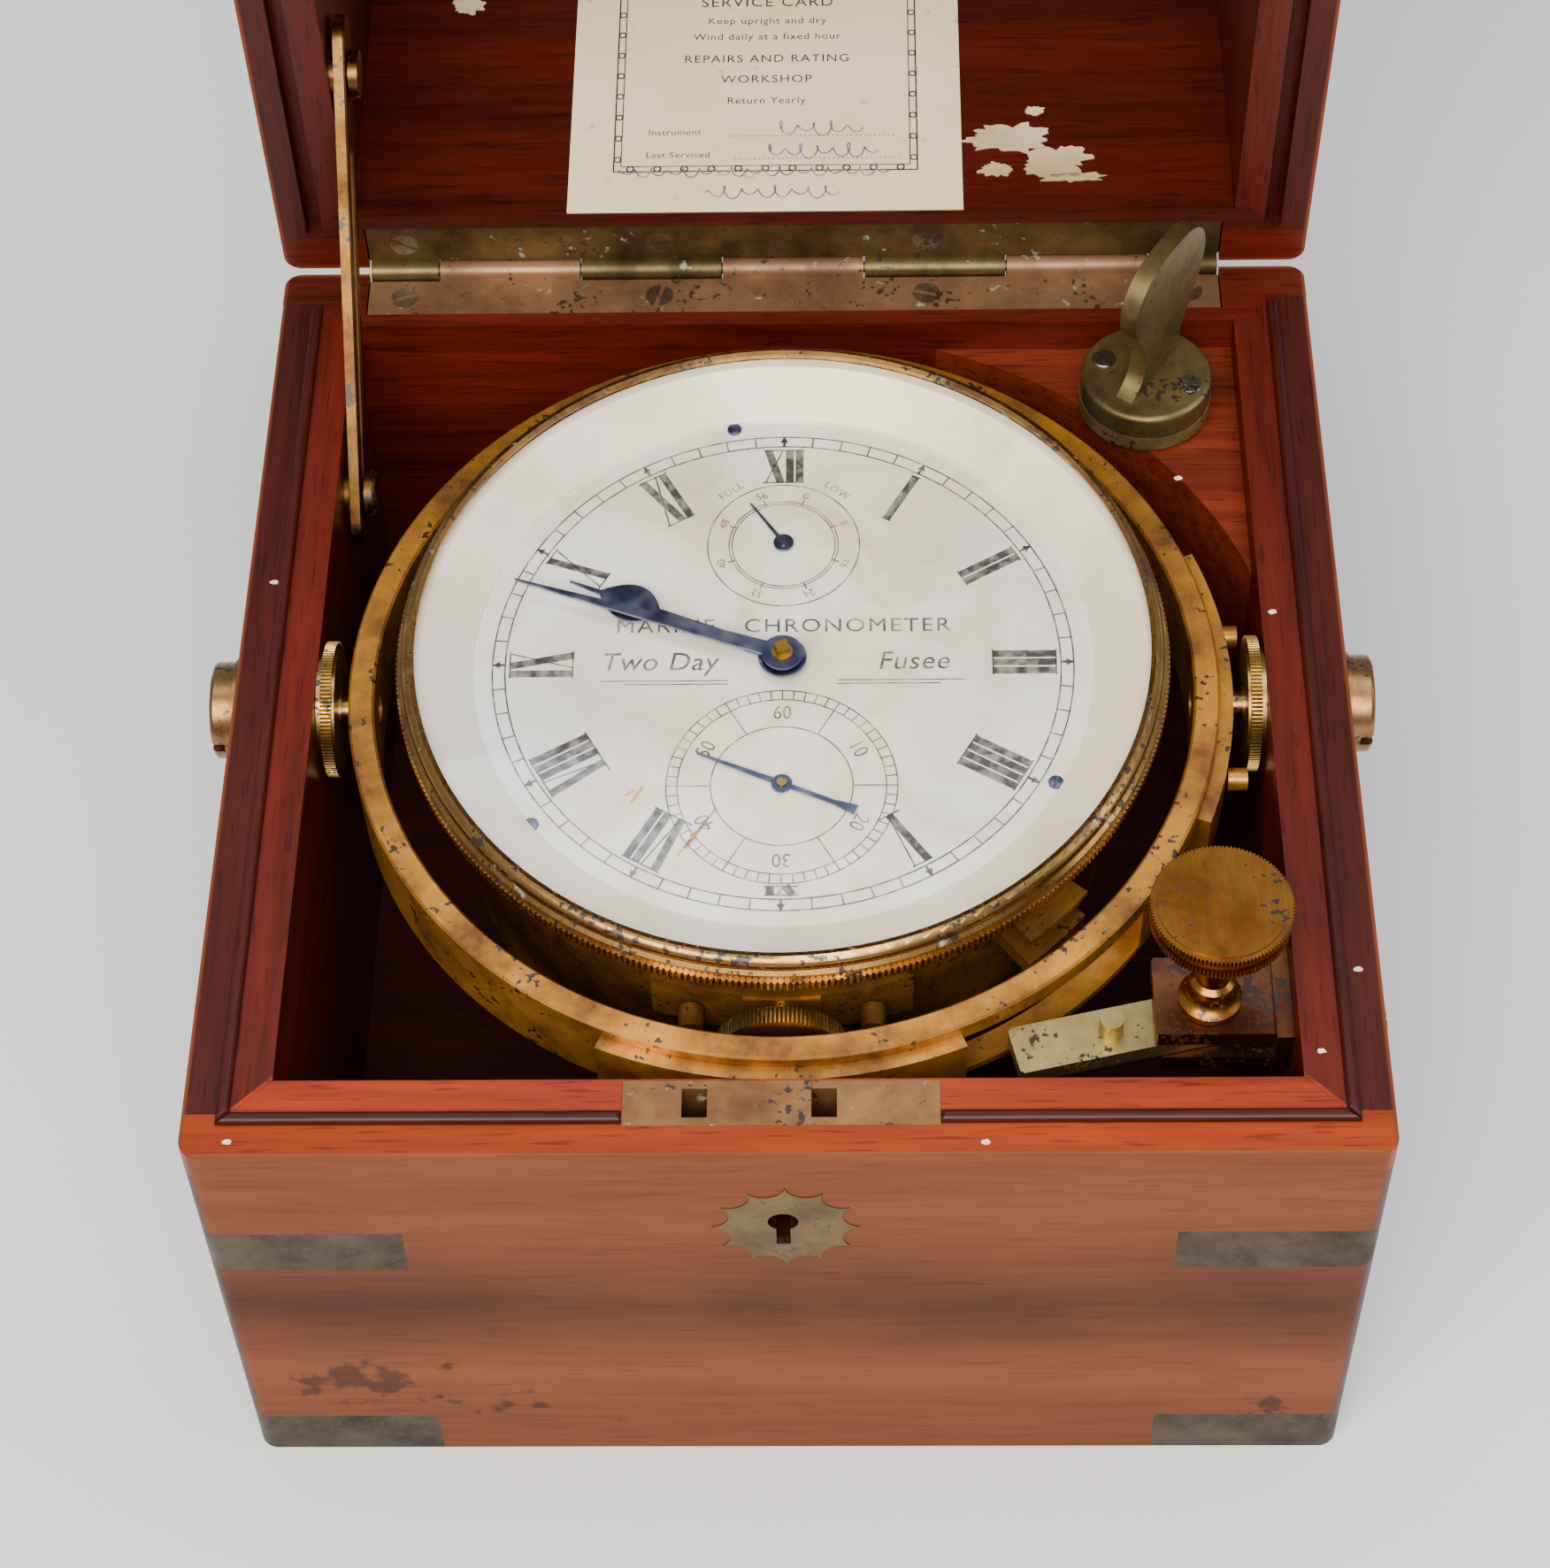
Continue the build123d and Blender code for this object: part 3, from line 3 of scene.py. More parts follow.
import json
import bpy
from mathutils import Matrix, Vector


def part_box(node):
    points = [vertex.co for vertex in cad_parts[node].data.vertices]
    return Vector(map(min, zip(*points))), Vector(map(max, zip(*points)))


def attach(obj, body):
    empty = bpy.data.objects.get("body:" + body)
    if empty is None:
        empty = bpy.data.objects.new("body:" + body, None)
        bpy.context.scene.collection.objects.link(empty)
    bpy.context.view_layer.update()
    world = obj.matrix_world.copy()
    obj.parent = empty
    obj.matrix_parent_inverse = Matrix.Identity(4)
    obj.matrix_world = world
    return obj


bl_info = {
    "name": "Boxed Marine Chronometer",
    "version": (1, 0, 0),
    "blender": (4, 5, 0),
    "location": "View3D > Sidebar > Chronometer",
    "description": "Dresses the frame of a gimballed chronometer in its mahogany box",
    "category": "Object",
}

from math import atan2, cos, pi, radians, sin

import bpy
from bpy.props import FloatProperty, FloatVectorProperty, IntProperty, PointerProperty
from mathutils import Matrix, Vector, noise

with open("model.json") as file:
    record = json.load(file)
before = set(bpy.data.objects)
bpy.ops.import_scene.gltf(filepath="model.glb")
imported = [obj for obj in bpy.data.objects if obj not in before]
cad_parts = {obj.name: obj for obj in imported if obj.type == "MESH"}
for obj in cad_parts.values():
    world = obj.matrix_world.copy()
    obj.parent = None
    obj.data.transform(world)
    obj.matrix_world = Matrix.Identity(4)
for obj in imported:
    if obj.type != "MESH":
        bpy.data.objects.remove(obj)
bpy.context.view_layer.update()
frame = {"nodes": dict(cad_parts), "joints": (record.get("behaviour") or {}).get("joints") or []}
NODES = frame["nodes"]
JOINTS = {joint["name"]: joint for joint in frame["joints"]}
MM = 0.001

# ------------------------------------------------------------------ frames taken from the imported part
GIMBAL = Vector(JOINTS["gimbal_pitch"]["pos_m"])
DIAL_UP = Vector(JOINTS["gimbal_pitch"]["axis"]).normalized()
DIAL_OUT = Vector((1, 0, 0)).cross(DIAL_UP)
SECONDS_AT = (Vector(JOINTS["seconds_turn"]["pos_m"]) - GIMBAL).dot(DIAL_UP)
UP_DOWN_AT = (Vector(JOINTS["up_down_turn"]["pos_m"]) - GIMBAL).dot(DIAL_UP)
DIAL_FACE = 12.4 * MM  # above the point where the gimbal axes cross
DIAL = Matrix((
    (1, DIAL_UP.x, DIAL_OUT.x, GIMBAL.x + DIAL_FACE * DIAL_OUT.x),
    (0, DIAL_UP.y, DIAL_OUT.y, GIMBAL.y + DIAL_FACE * DIAL_OUT.y),
    (0, DIAL_UP.z, DIAL_OUT.z, GIMBAL.z + DIAL_FACE * DIAL_OUT.z),
    (0, 0, 0, 1),
))
LID_OPEN = radians(JOINTS["lid_hinge"]["range_deg"][1])
HINGE_AT = Vector(JOINTS["lid_hinge"]["pos_m"])
HINGE_AXIS = Vector(JOINTS["lid_hinge"]["axis"])
LID_CLOSING = Matrix.Rotation(LID_OPEN, 4, HINGE_AXIS)
LID_CROWN = max((LID_CLOSING @ (NODES["lid_top_panel"].matrix_world @ vertex.co - HINGE_AT)).z
                for vertex in NODES["lid_top_panel"].data.vertices) + HINGE_AT.z
LABEL_LOW, LABEL_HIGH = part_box("lid_label")
# the label's own plane: x to the right, y away from the hinge, z out of the paper
PAPER_UP = Vector((0, sin(LID_OPEN), cos(LID_OPEN)))
PAPER_OUT = Vector((1, 0, 0)).cross(PAPER_UP)
PAPER_FOOT = Vector(((LABEL_LOW.x + LABEL_HIGH.x) / 2, LABEL_LOW.y, 0))
PAPER_FOOT.z = LABEL_HIGH.z - (LABEL_HIGH.y - LABEL_LOW.y) * cos(LID_OPEN) / sin(LID_OPEN)
PAPER = Matrix((
    (1, PAPER_UP.x, PAPER_OUT.x, PAPER_FOOT.x),
    (0, PAPER_UP.y, PAPER_OUT.y, PAPER_FOOT.y),
    (0, PAPER_UP.z, PAPER_OUT.z, PAPER_FOOT.z),
    (0, 0, 0, 1),
))


# ------------------------------------------------------------------ colour and node helpers
def srgb(code):
    """Linear RGBA from an sRGB hex value."""
    channels = [int(code[i : i + 2], 16) / 255 for i in (1, 3, 5)]
    return tuple(c / 12.92 if c <= 0.04045 else ((c + 0.055) / 1.055) ** 2.4 for c in channels) + (1.0,)


def add_node(tree, kind, inputs=None, stops=None, **settings):
    """Add a node: its settings, its inputs as values or links, and a ramp's stops."""
    made = tree.nodes.new(kind)
    for key, value in settings.items():
        setattr(made, key, value)
    for key, value in (inputs or {}).items():
        if isinstance(value, bpy.types.NodeSocket):
            tree.links.new(value, made.inputs[key])
        else:
            made.inputs[key].default_value = value
    if stops:
        ramp = made.color_ramp
        for place, (position, colour) in enumerate(stops):
            stop = ramp.elements[place] if place < 2 else ramp.elements.new(position)
            stop.position = position
            stop.color = colour if len(colour) == 4 else (*colour, 1)
    return made


def grey(value):
    return (value, value, value, 1)


def new_material(name):
    """An empty material: its tree, shader and object coordinates."""
    material = bpy.data.materials.new(name)
    material.use_nodes = True
    tree = material.node_tree
    shader = tree.nodes["Principled BSDF"]
    coords = add_node(tree, "ShaderNodeTexCoord").outputs["Object"]
    return material, tree, shader, coords


def mix_colours(tree, factor, first, second, blend="MIX"):
    mixer = add_node(tree, "ShaderNodeMix", {0: factor, 6: first, 7: second}, data_type="RGBA",
                     blend_type=blend)
    return mixer.outputs[2]


# ------------------------------------------------------------------ materials
LID_CENTRE_Z = sum(corner.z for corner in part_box("lid_linings")) / 2
MITRE_CENTRE = {"XY": (0, 0, 0), "XZ": (0, 0, LID_CENTRE_Z)}
# where the faded skin of the shut box starts and is full, as distances from its middle or its foot
SIDE_SKIN = (91.2 * MM, 91.7 * MM)
END_SKIN = (92.2 * MM, 92.7 * MM)
CROWN_SKIN = (LID_CROWN - 1.0 * MM, LID_CROWN - 0.5 * MM)
CASE_RIM = 96.0 * MM
# heights between which the painted shade on the inner faces of the boards fades in
SHADED_BELOW = (91.0 * MM, 89.0 * MM)
POLISHED_SHEEN = 0.25
# colour gain of the painted highlight on the front lining
SUNLIT_GAIN = (2.9, 3.6, 1.6, 1)
# middle and reach of each group of ink blots, and how dense the pattern must be before it shows
INK_SPILLS = (
    ((-0.070, -0.093, 0.026), 0.022, 0.75),
    ((-0.050, -0.093, 0.014), 0.018, 0.80),
    ((0.078, -0.093, 0.014), 0.018, 0.84),
)


def along_grain(tree, coords, axis):
    """Coordinates stretched along the grain of a board."""
    squeeze = [0.07 if letter == axis else 1.0 for letter in "XYZ"]
    return add_node(tree, "ShaderNodeMapping", {"Vector": coords, "Scale": squeeze}).outputs[0]


def split_mitre(tree, coords, grain, fibre):
    """Mask of the boards past the mitre, whose grain runs the other way, and coordinates along each grain."""
    reach = add_node(tree, "ShaderNodeVectorMath", {0: coords, 1: MITRE_CENTRE[grain]}, operation="SUBTRACT")
    reach = add_node(tree, "ShaderNodeVectorMath", {0: reach.outputs[0]}, operation="ABSOLUTE").outputs[0]
    apart = add_node(tree, "ShaderNodeSeparateXYZ", {0: reach}).outputs
    first, second = (apart["XYZ".index(letter)] for letter in grain)
    beyond = add_node(tree, "ShaderNodeMath", {0: first, 1: second}, operation="GREATER_THAN").outputs[0]
    other = along_grain(tree, coords, grain[1])
    fibre = add_node(tree, "ShaderNodeMix", {0: beyond, 4: fibre, 5: other}, data_type="VECTOR").outputs[1]
    return beyond, fibre


def outer_skin(tree, spot, on_lid):
    """Mask of the faded skin, the outermost millimetre or less of the shut box."""
    side = add_node(tree, "ShaderNodeMath", {0: spot[0]}, operation="ABSOLUTE").outputs[0]
    end = add_node(tree, "ShaderNodeMath", {0: spot[1]}, operation="ABSOLUTE").outputs[0]
    side = add_node(tree, "ShaderNodeMapRange", {0: side, 1: SIDE_SKIN[0], 2: SIDE_SKIN[1]}).outputs[0]
    end = add_node(tree, "ShaderNodeMapRange", {0: end, 1: END_SKIN[0], 2: END_SKIN[1]}).outputs[0]
    skin = add_node(tree, "ShaderNodeMath", {0: side, 1: end}, operation="MAXIMUM").outputs[0]
    if on_lid:
        crown = add_node(tree, "ShaderNodeMapRange", {0: spot[2], 1: CROWN_SKIN[0], 2: CROWN_SKIN[1]})
        skin = add_node(tree, "ShaderNodeMath", {0: skin, 1: crown.outputs[0]},
                        operation="MAXIMUM").outputs[0]
    return skin


def weathered(tree, coords, spot, figure, pore_mask):
    """Colour of the outside: pale sun-bleached wood, darker towards the foot and in a band half-way up, and
    spilt ink low down.
    """
    pale = add_node(tree, "ShaderNodeValToRGB", {"Fac": figure},
                    stops=[(0.33, srgb("#633118")), (0.68, srgb("#7a4224"))]).outputs[0]
    colour = mix_colours(tree, 0.45, pale, pore_mask, "MULTIPLY")
    # darker towards the foot and in a band half-way up, broken up in patches
    height = add_node(tree, "ShaderNodeMapRange", {0: spot[2], 1: 0.0, 2: CASE_RIM}).outputs[0]
    height = add_node(tree, "ShaderNodeValToRGB", {"Fac": height}, stops=[
        (0.0, grey(0.85)), (0.28, grey(1.0)), (0.52, grey(0.36)), (0.72, grey(0.80)),
        (0.9, grey(1.0))]).outputs[0]
    cloud = add_node(tree, "ShaderNodeTexNoise", {"Vector": coords, "Scale": 22.0, "Detail": 3.0}).outputs[0]
    drift = add_node(tree, "ShaderNodeMapRange", {0: cloud, 1: 0.3, 2: 0.6, 3: 0.55}).outputs[0]
    colour = mix_colours(tree, 1.0, colour, mix_colours(tree, drift, grey(1.0), height), "MULTIPLY")
    # blots about 5 mm across, each group fading out from its middle
    blots = add_node(tree, "ShaderNodeTexNoise", {"Vector": coords, "Scale": 190.0, "Detail": 3.0}).outputs[0]
    for middle, reach, dry in INK_SPILLS:
        near = add_node(tree, "ShaderNodeVectorMath", {0: coords, 1: middle}, operation="DISTANCE").outputs[1]
        near = add_node(tree, "ShaderNodeMapRange", {0: near, 1: reach, 2: 0.0, 4: 0.35}).outputs[0]
        inked = add_node(tree, "ShaderNodeMath", {0: near, 1: blots}, operation="ADD").outputs[0]
        inked = add_node(tree, "ShaderNodeMapRange", {0: inked, 1: dry, 2: dry + 0.08, 4: 0.7}).outputs[0]
        colour = mix_colours(tree, inked, colour, srgb("#2a1712"))
    return colour


def mahogany(name, grain, light, dark, gloss=0.3, faded=False, sunlit=False, on_lid=False):
    """French-polished mahogany: short dark pores and ribbon figure along the grain, under a glossy shellac
    film. Outside faces can be sun-faded and ink-stained, with the shellac worn thin."""
    material, tree, shader, coords = new_material(name)
    if on_lid:
        # the pattern is laid out on the shut box
        turn = {"Vector": coords, "Center": HINGE_AT, "Axis": HINGE_AXIS, "Angle": LID_OPEN}
        coords = add_node(tree, "ShaderNodeVectorRotate", turn, rotation_type="AXIS_ANGLE").outputs[0]
    fibre = along_grain(tree, coords, grain[0])
    if len(grain) == 2:
        beyond, fibre = split_mitre(tree, coords, grain, fibre)
    # fibre bundles about 2 mm wide, and ribbon figure about 25 mm wide
    lines = add_node(tree, "ShaderNodeTexNoise", {"Vector": fibre, "Scale": 420.0, "Detail": 3.0,
                                                  "Roughness": 0.62}).outputs[0]
    ribbon = add_node(tree, "ShaderNodeTexNoise", {"Vector": fibre, "Scale": 38.0, "Detail": 1.0,
                                                   "Distortion": 1.2}).outputs[0]
    # open pores, drawn 0.5 mm wide so that they show
    pores = add_node(tree, "ShaderNodeTexNoise", {"Vector": fibre, "Scale": 1500.0, "Detail": 1.0}).outputs[0]
    figure = add_node(tree, "ShaderNodeMath", {0: lines, 1: ribbon}, operation="ADD").outputs[0]
    figure = add_node(tree, "ShaderNodeMath", {0: figure, 1: 0.5}, operation="MULTIPLY").outputs[0]
    tone = add_node(tree, "ShaderNodeValToRGB", {"Fac": figure},
                    stops=[(0.31, srgb(dark)), (0.68, srgb(light))])
    pore_mask = add_node(tree, "ShaderNodeValToRGB", {"Fac": pores},
                         stops=[(0.30, grey(0.55)), (0.40, grey(1.0))]).outputs[0]
    colour = mix_colours(tree, 1.0, tone.outputs[0], pore_mask, "MULTIPLY")
    rough = add_node(tree, "ShaderNodeMapRange", {0: lines, 3: gloss, 4: gloss + 0.2}).outputs[0]
    shader.inputs["Specular IOR Level"].default_value = POLISHED_SHEEN
    shader.inputs["Coat Weight"].default_value = 0.0 if faded else 0.07
    shader.inputs["Coat Roughness"].default_value = 0.18
    spot = add_node(tree, "ShaderNodeSeparateXYZ", {0: coords}).outputs
    if sunlit:
        # painted highlight: the front lining is brightened to orange where the light strikes along its grain
        ahead = add_node(tree, "ShaderNodeMapRange", {0: spot[1], 1: 0.0, 2: -MM}).outputs[0]
        lit = add_node(tree, "ShaderNodeMath", {0: ahead, 1: beyond}, operation="SUBTRACT",
                       use_clamp=True).outputs[0]
        colour = mix_colours(tree, lit, colour, mix_colours(tree, 1.0, colour, SUNLIT_GAIN, "MULTIPLY"))
    if faded:
        skin = outer_skin(tree, spot, on_lid)
        # painted shade: inner faces below the rim, inside the keyhole and behind the linings, are darkened
        # nearly to black
        inner_shade = add_node(tree, "ShaderNodeMapRange",
                        {0: spot[2], 1: SHADED_BELOW[0], 2: SHADED_BELOW[1]}).outputs[0]
        colour = mix_colours(tree, inner_shade, colour, srgb("#2c120a"))
        colour = mix_colours(tree, skin, colour, weathered(tree, coords, spot, figure, pore_mask))
        rough = add_node(tree, "ShaderNodeMix", {0: skin, 2: rough, 3: 0.5}).outputs[0]
        sheen = add_node(tree, "ShaderNodeMapRange", {0: skin, 3: 0.22, 4: 0.12}).outputs[0]
        tree.links.new(sheen, shader.inputs["Specular IOR Level"])
    tree.links.new(colour, shader.inputs["Base Color"])
    tree.links.new(rough, shader.inputs["Roughness"])
    grain_height = add_node(tree, "ShaderNodeMath", {0: lines, 1: pore_mask}, operation="ADD").outputs[0]
    bump = add_node(tree, "ShaderNodeBump", {"Strength": 0.12, "Distance": 0.0002, "Height": grain_height})
    tree.links.new(bump.outputs[0], shader.inputs["Normal"])
    return material


def old_brass(name, clean="#b08a45", tarnish="#6e4f28", dark="#2c1d10", wear=0.5, rough=(0.22, 0.5),
              verdigris=0.0, specks=0.5, metallic=1.0):
    """Yellow brass that has lost its lacquer: brown tarnish in clouds, dark pitting, dull green verdigris
    in the damp places, and bright metal only where it is handled."""
    material, tree, shader, coords = new_material(name)
    cloud = add_node(tree, "ShaderNodeTexNoise", {"Vector": coords, "Scale": 75.0, "Detail": 4.0,
                                                  "Roughness": 0.68}).outputs[0]
    colour = add_node(tree, "ShaderNodeValToRGB", {"Fac": cloud},
                      stops=[(0.5 - 0.3 * wear, srgb(clean)),
                             (0.5 + 0.32 * (1 - wear), srgb(tarnish))]).outputs[0]
    # pits and spots about 0.6 mm across
    pit = add_node(tree, "ShaderNodeTexNoise", {"Vector": coords, "Scale": 900.0, "Detail": 1.0}).outputs[0]
    patch = add_node(tree, "ShaderNodeTexNoise", {"Vector": coords, "Scale": 140.0, "Detail": 2.0}).outputs[0]
    spot = add_node(tree, "ShaderNodeMath", {0: pit, 1: patch}, operation="ADD").outputs[0]
    spot = add_node(tree, "ShaderNodeMapRange",
                    {0: spot, 1: 1.22 - 0.1 * specks, 2: 1.30 - 0.1 * specks}).outputs[0]
    colour = mix_colours(tree, spot, colour, srgb(dark))
    # fine scratches, drawn 0.15 mm apart
    stretched = add_node(tree, "ShaderNodeMapping", {"Vector": coords, "Rotation": (0.3, 0.2, 0.6),
                                                     "Scale": (1.0, 0.06, 1.0)}).outputs[0]
    scratch = add_node(tree, "ShaderNodeTexNoise",
                       {"Vector": stretched, "Scale": 3500.0, "Detail": 0.0}).outputs[0]
    dull = add_node(tree, "ShaderNodeMapRange",
                    {0: cloud, 1: 0.3, 2: 0.7, 3: rough[0], 4: rough[1]}).outputs[0]
    rubbed = add_node(tree, "ShaderNodeMapRange", {0: scratch, 3: -0.06, 4: 0.06}).outputs[0]
    dull = add_node(tree, "ShaderNodeMath", {0: dull, 1: rubbed}, operation="ADD").outputs[0]
    metal = add_node(tree, "ShaderNodeMath", {0: 1.0, 1: spot}, operation="SUBTRACT").outputs[0]
    if verdigris:
        damp = add_node(tree, "ShaderNodeTexNoise", {"Vector": coords, "Scale": 230.0, "Detail": 3.0,
                                                     "Roughness": 0.7}).outputs[0]
        damp = add_node(tree, "ShaderNodeMapRange", {0: damp, 1: 0.66 - 0.12 * verdigris,
                                                     2: 0.72 - 0.1 * verdigris}).outputs[0]
        colour = mix_colours(tree, damp, colour, srgb("#7d8f7c"))
        metal = add_node(tree, "ShaderNodeMath", {0: metal, 1: damp}, operation="SUBTRACT",
                         use_clamp=True).outputs[0]
    metal = add_node(tree, "ShaderNodeMath", {0: metal, 1: metallic}, operation="MULTIPLY").outputs[0]
    tree.links.new(colour, shader.inputs["Base Color"])
    tree.links.new(metal, shader.inputs["Metallic"])
    tree.links.new(dull, shader.inputs["Roughness"])
    bump = add_node(tree, "ShaderNodeBump", {"Strength": 0.25, "Distance": 0.0001, "Height": cloud})
    tree.links.new(bump.outputs[0], shader.inputs["Normal"])
    return material


def silvered_brass(name, tone="#fbf5e6", stain="#dfcca4", rough=0.42, metallic=0.12, spun=False):
    """Brass rubbed with silver chloride: a soft white bloom that has yellowed in patches. The reflector
    is lathe-spun, which leaves rings about its axis."""
    material, tree, shader, coords = new_material(name)
    mottle = add_node(tree, "ShaderNodeTexNoise", {"Vector": coords, "Scale": 42.0, "Detail": 3.0,
                                                   "Roughness": 0.6, "Distortion": 0.8}).outputs[0]
    colour = add_node(tree, "ShaderNodeValToRGB", {"Fac": mottle},
                      stops=[(0.40, srgb(tone)), (0.72, srgb(stain))]).outputs[0]
    # painted reflection: broad bluish-white patches stand in for the glass reflecting on the silvering
    cloud = add_node(tree, "ShaderNodeTexNoise", {"Vector": coords, "Scale": 16.0, "Detail": 2.0}).outputs[0]
    painted_glass_reflection = add_node(tree, "ShaderNodeMapRange", {0: cloud, 1: 0.42, 2: 0.62, 4: 0.6}).outputs[0]
    colour = mix_colours(tree, painted_glass_reflection, colour, srgb("#e3e5ea"))
    tree.links.new(colour, shader.inputs["Base Color"])
    shader.inputs["Metallic"].default_value = metallic
    grain = add_node(tree, "ShaderNodeTexNoise",
                     {"Vector": coords, "Scale": 2600.0, "Detail": 0.0}).outputs[0]
    if spun:
        centred = add_node(tree, "ShaderNodeVectorMath", {0: coords, 1: tuple(GIMBAL)}, operation="SUBTRACT")
        dial_tilt = atan2(DIAL_UP.z, DIAL_UP.y)
        centred = add_node(tree, "ShaderNodeVectorRotate", {0: centred.outputs[0], "Angle": -dial_tilt},
                           rotation_type="X_AXIS").outputs[0]
        rings = {"Vector": centred, "Scale": 400.0, "Distortion": 1.5, "Detail": 1.0}
        # lathe rings, drawn 0.8 mm apart
        grain = add_node(tree, "ShaderNodeTexWave", rings, wave_type="RINGS", rings_direction="Z").outputs[1]
    roughness = add_node(tree, "ShaderNodeMapRange", {0: grain, 3: rough - 0.04, 4: rough + 0.06}).outputs[0]
    tree.links.new(roughness, shader.inputs["Roughness"])
    bump = add_node(tree, "ShaderNodeBump", {"Strength": 0.08, "Distance": 0.00005, "Height": grain})
    tree.links.new(bump.outputs[0], shader.inputs["Normal"])
    return material


def blued_steel(name):
    """Steel tempered to a violet-blue oxide film and polished: dark, with a blue sheen in its reflections."""
    material, tree, shader, coords = new_material(name)
    film = add_node(tree, "ShaderNodeTexNoise", {"Vector": coords, "Scale": 300.0, "Detail": 1.0}).outputs[0]
    colour = add_node(tree, "ShaderNodeValToRGB", {"Fac": film},
                      stops=[(0.35, srgb("#4c5474")), (0.7, srgb("#848aa2"))]).outputs[0]
    tree.links.new(colour, shader.inputs["Base Color"])
    rough = add_node(tree, "ShaderNodeMapRange", {0: film, 3: 0.25, 4: 0.4}).outputs[0]
    tree.links.new(rough, shader.inputs["Roughness"])
    shader.inputs["Metallic"].default_value = 1.0
    return material


def crown_glass(name):
    """Flat polished crown glass: nearly all light goes through, more bounces off towards grazing angles."""
    material, tree, shader, coords = new_material(name)
    shader.inputs["Base Color"].default_value = srgb("#f2f6ff")
    shader.inputs["Metallic"].default_value = 1.0
    shader.inputs["Roughness"].default_value = 0.03
    # Schlick's curve, the same from either side of the pane; old glass reflects a little less than new
    grazing = add_node(tree, "ShaderNodeLayerWeight", {"Blend": 0.5}).outputs["Facing"]
    grazing = add_node(tree, "ShaderNodeMath", {0: grazing, 1: 5.0}, operation="POWER").outputs[0]
    fresnel = add_node(tree, "ShaderNodeMapRange", {0: grazing, 3: 0.02, 4: 0.8}).outputs[0]
    dust = add_node(tree, "ShaderNodeTexNoise", {"Vector": coords, "Scale": 24.0, "Detail": 2.0}).outputs[0]
    haze = add_node(tree, "ShaderNodeMapRange", {0: dust, 1: 0.4, 2: 0.7, 3: 0.0, 4: 0.05}).outputs[0]
    cover = add_node(tree, "ShaderNodeMath", {0: fresnel, 1: haze}, operation="ADD",
                     use_clamp=True).outputs[0]
    tree.links.new(cover, shader.inputs["Alpha"])
    return material


def filed_steel(name):
    """Mild steel screws gone dull and brown, with a little polish on the rims."""
    return old_brass(name, clean="#8f8a80", tarnish="#5a4a38", dark="#1e1611", wear=0.55, rough=(0.3, 0.5),
                     specks=0.6)


def old_paper(name, fresh="#fff0c6", aged="#f6dea6"):
    """Rag paper yellowed by varnish and handling: warm cream, foxed in small brown spots, quite matt."""
    material, tree, shader, coords = new_material(name)
    age = add_node(tree, "ShaderNodeTexNoise", {"Vector": coords, "Scale": 30.0, "Detail": 3.0}).outputs[0]
    colour = add_node(tree, "ShaderNodeValToRGB", {"Fac": age},
                      stops=[(0.35, srgb(fresh)), (0.7, srgb(aged))]).outputs[0]
    fox = add_node(tree, "ShaderNodeTexNoise", {"Vector": coords, "Scale": 260.0, "Detail": 2.0}).outputs[0]
    fox = add_node(tree, "ShaderNodeMapRange", {0: fox, 1: 0.68, 2: 0.78, 4: 0.6}).outputs[0]
    colour = mix_colours(tree, fox, colour, srgb("#b28a55"))
    tree.links.new(colour, shader.inputs["Base Color"])
    shader.inputs["Roughness"].default_value = 0.85
    shader.inputs["Specular IOR Level"].default_value = 0.15
    # paper fibres, drawn 0.4 mm long
    fibre = add_node(tree, "ShaderNodeTexNoise",
                     {"Vector": coords, "Scale": 2200.0, "Detail": 1.0}).outputs[0]
    bump = add_node(tree, "ShaderNodeBump", {"Strength": 0.2, "Distance": 0.00005, "Height": fibre})
    tree.links.new(bump.outputs[0], shader.inputs["Normal"])
    return material


def worn_ink(name, strong="#34302e", weak="#8b8578", scale=500.0, rough=0.5):
    """Black wax in engraving, or printer's ink: dense in places and rubbed thin in others."""
    material, tree, shader, coords = new_material(name)
    rub = add_node(tree, "ShaderNodeTexNoise", {"Vector": coords, "Scale": scale, "Detail": 2.0}).outputs[0]
    colour = add_node(tree, "ShaderNodeValToRGB", {"Fac": rub},
                      stops=[(0.42, srgb(strong)), (0.66, srgb(weak))]).outputs[0]
    tree.links.new(colour, shader.inputs["Base Color"])
    shader.inputs["Roughness"].default_value = rough
    return material


def studio_paper(name, tone):
    """Seamless background paper, very faintly mottled."""
    material, tree, shader, coords = new_material(name)
    mottle = add_node(tree, "ShaderNodeTexNoise", {"Vector": coords, "Scale": 3.0, "Detail": 2.0}).outputs[0]
    light = tuple(c * 1.04 for c in tone[:3]) + (1.0,)
    colour = mix_colours(tree, mottle, tuple(tone), light)
    tree.links.new(colour, shader.inputs["Base Color"])
    shader.inputs["Roughness"].default_value = 0.9
    return material


# ------------------------------------------------------------------ modelling helpers
def clear_selection():
    if bpy.context.object and bpy.context.object.mode != "OBJECT":
        bpy.ops.object.mode_set(mode="OBJECT")
    bpy.ops.object.select_all(action="DESELECT")


def choose(piece):
    """Make one object the only selected and active one."""
    clear_selection()
    piece.select_set(True)
    bpy.context.view_layer.objects.active = piece


def dress(node, material):
    """Give a node of the frame its finish."""
    slots = NODES[node].data.materials
    slots.clear()
    slots.append(material)


def place(piece, matrix):
    """Put a piece made at the origin into its place, and apply that place to its mesh."""
    choose(piece)
    piece.matrix_world = matrix
    bpy.ops.object.transform_apply(location=True, rotation=True, scale=True)


def apply_modifier(piece, kind, **settings):
    choose(piece)
    modifier = piece.modifiers.new(kind.title(), kind)
    for key, value in settings.items():
        setattr(modifier, key, value)
    bpy.ops.object.modifier_apply(modifier=modifier.name)


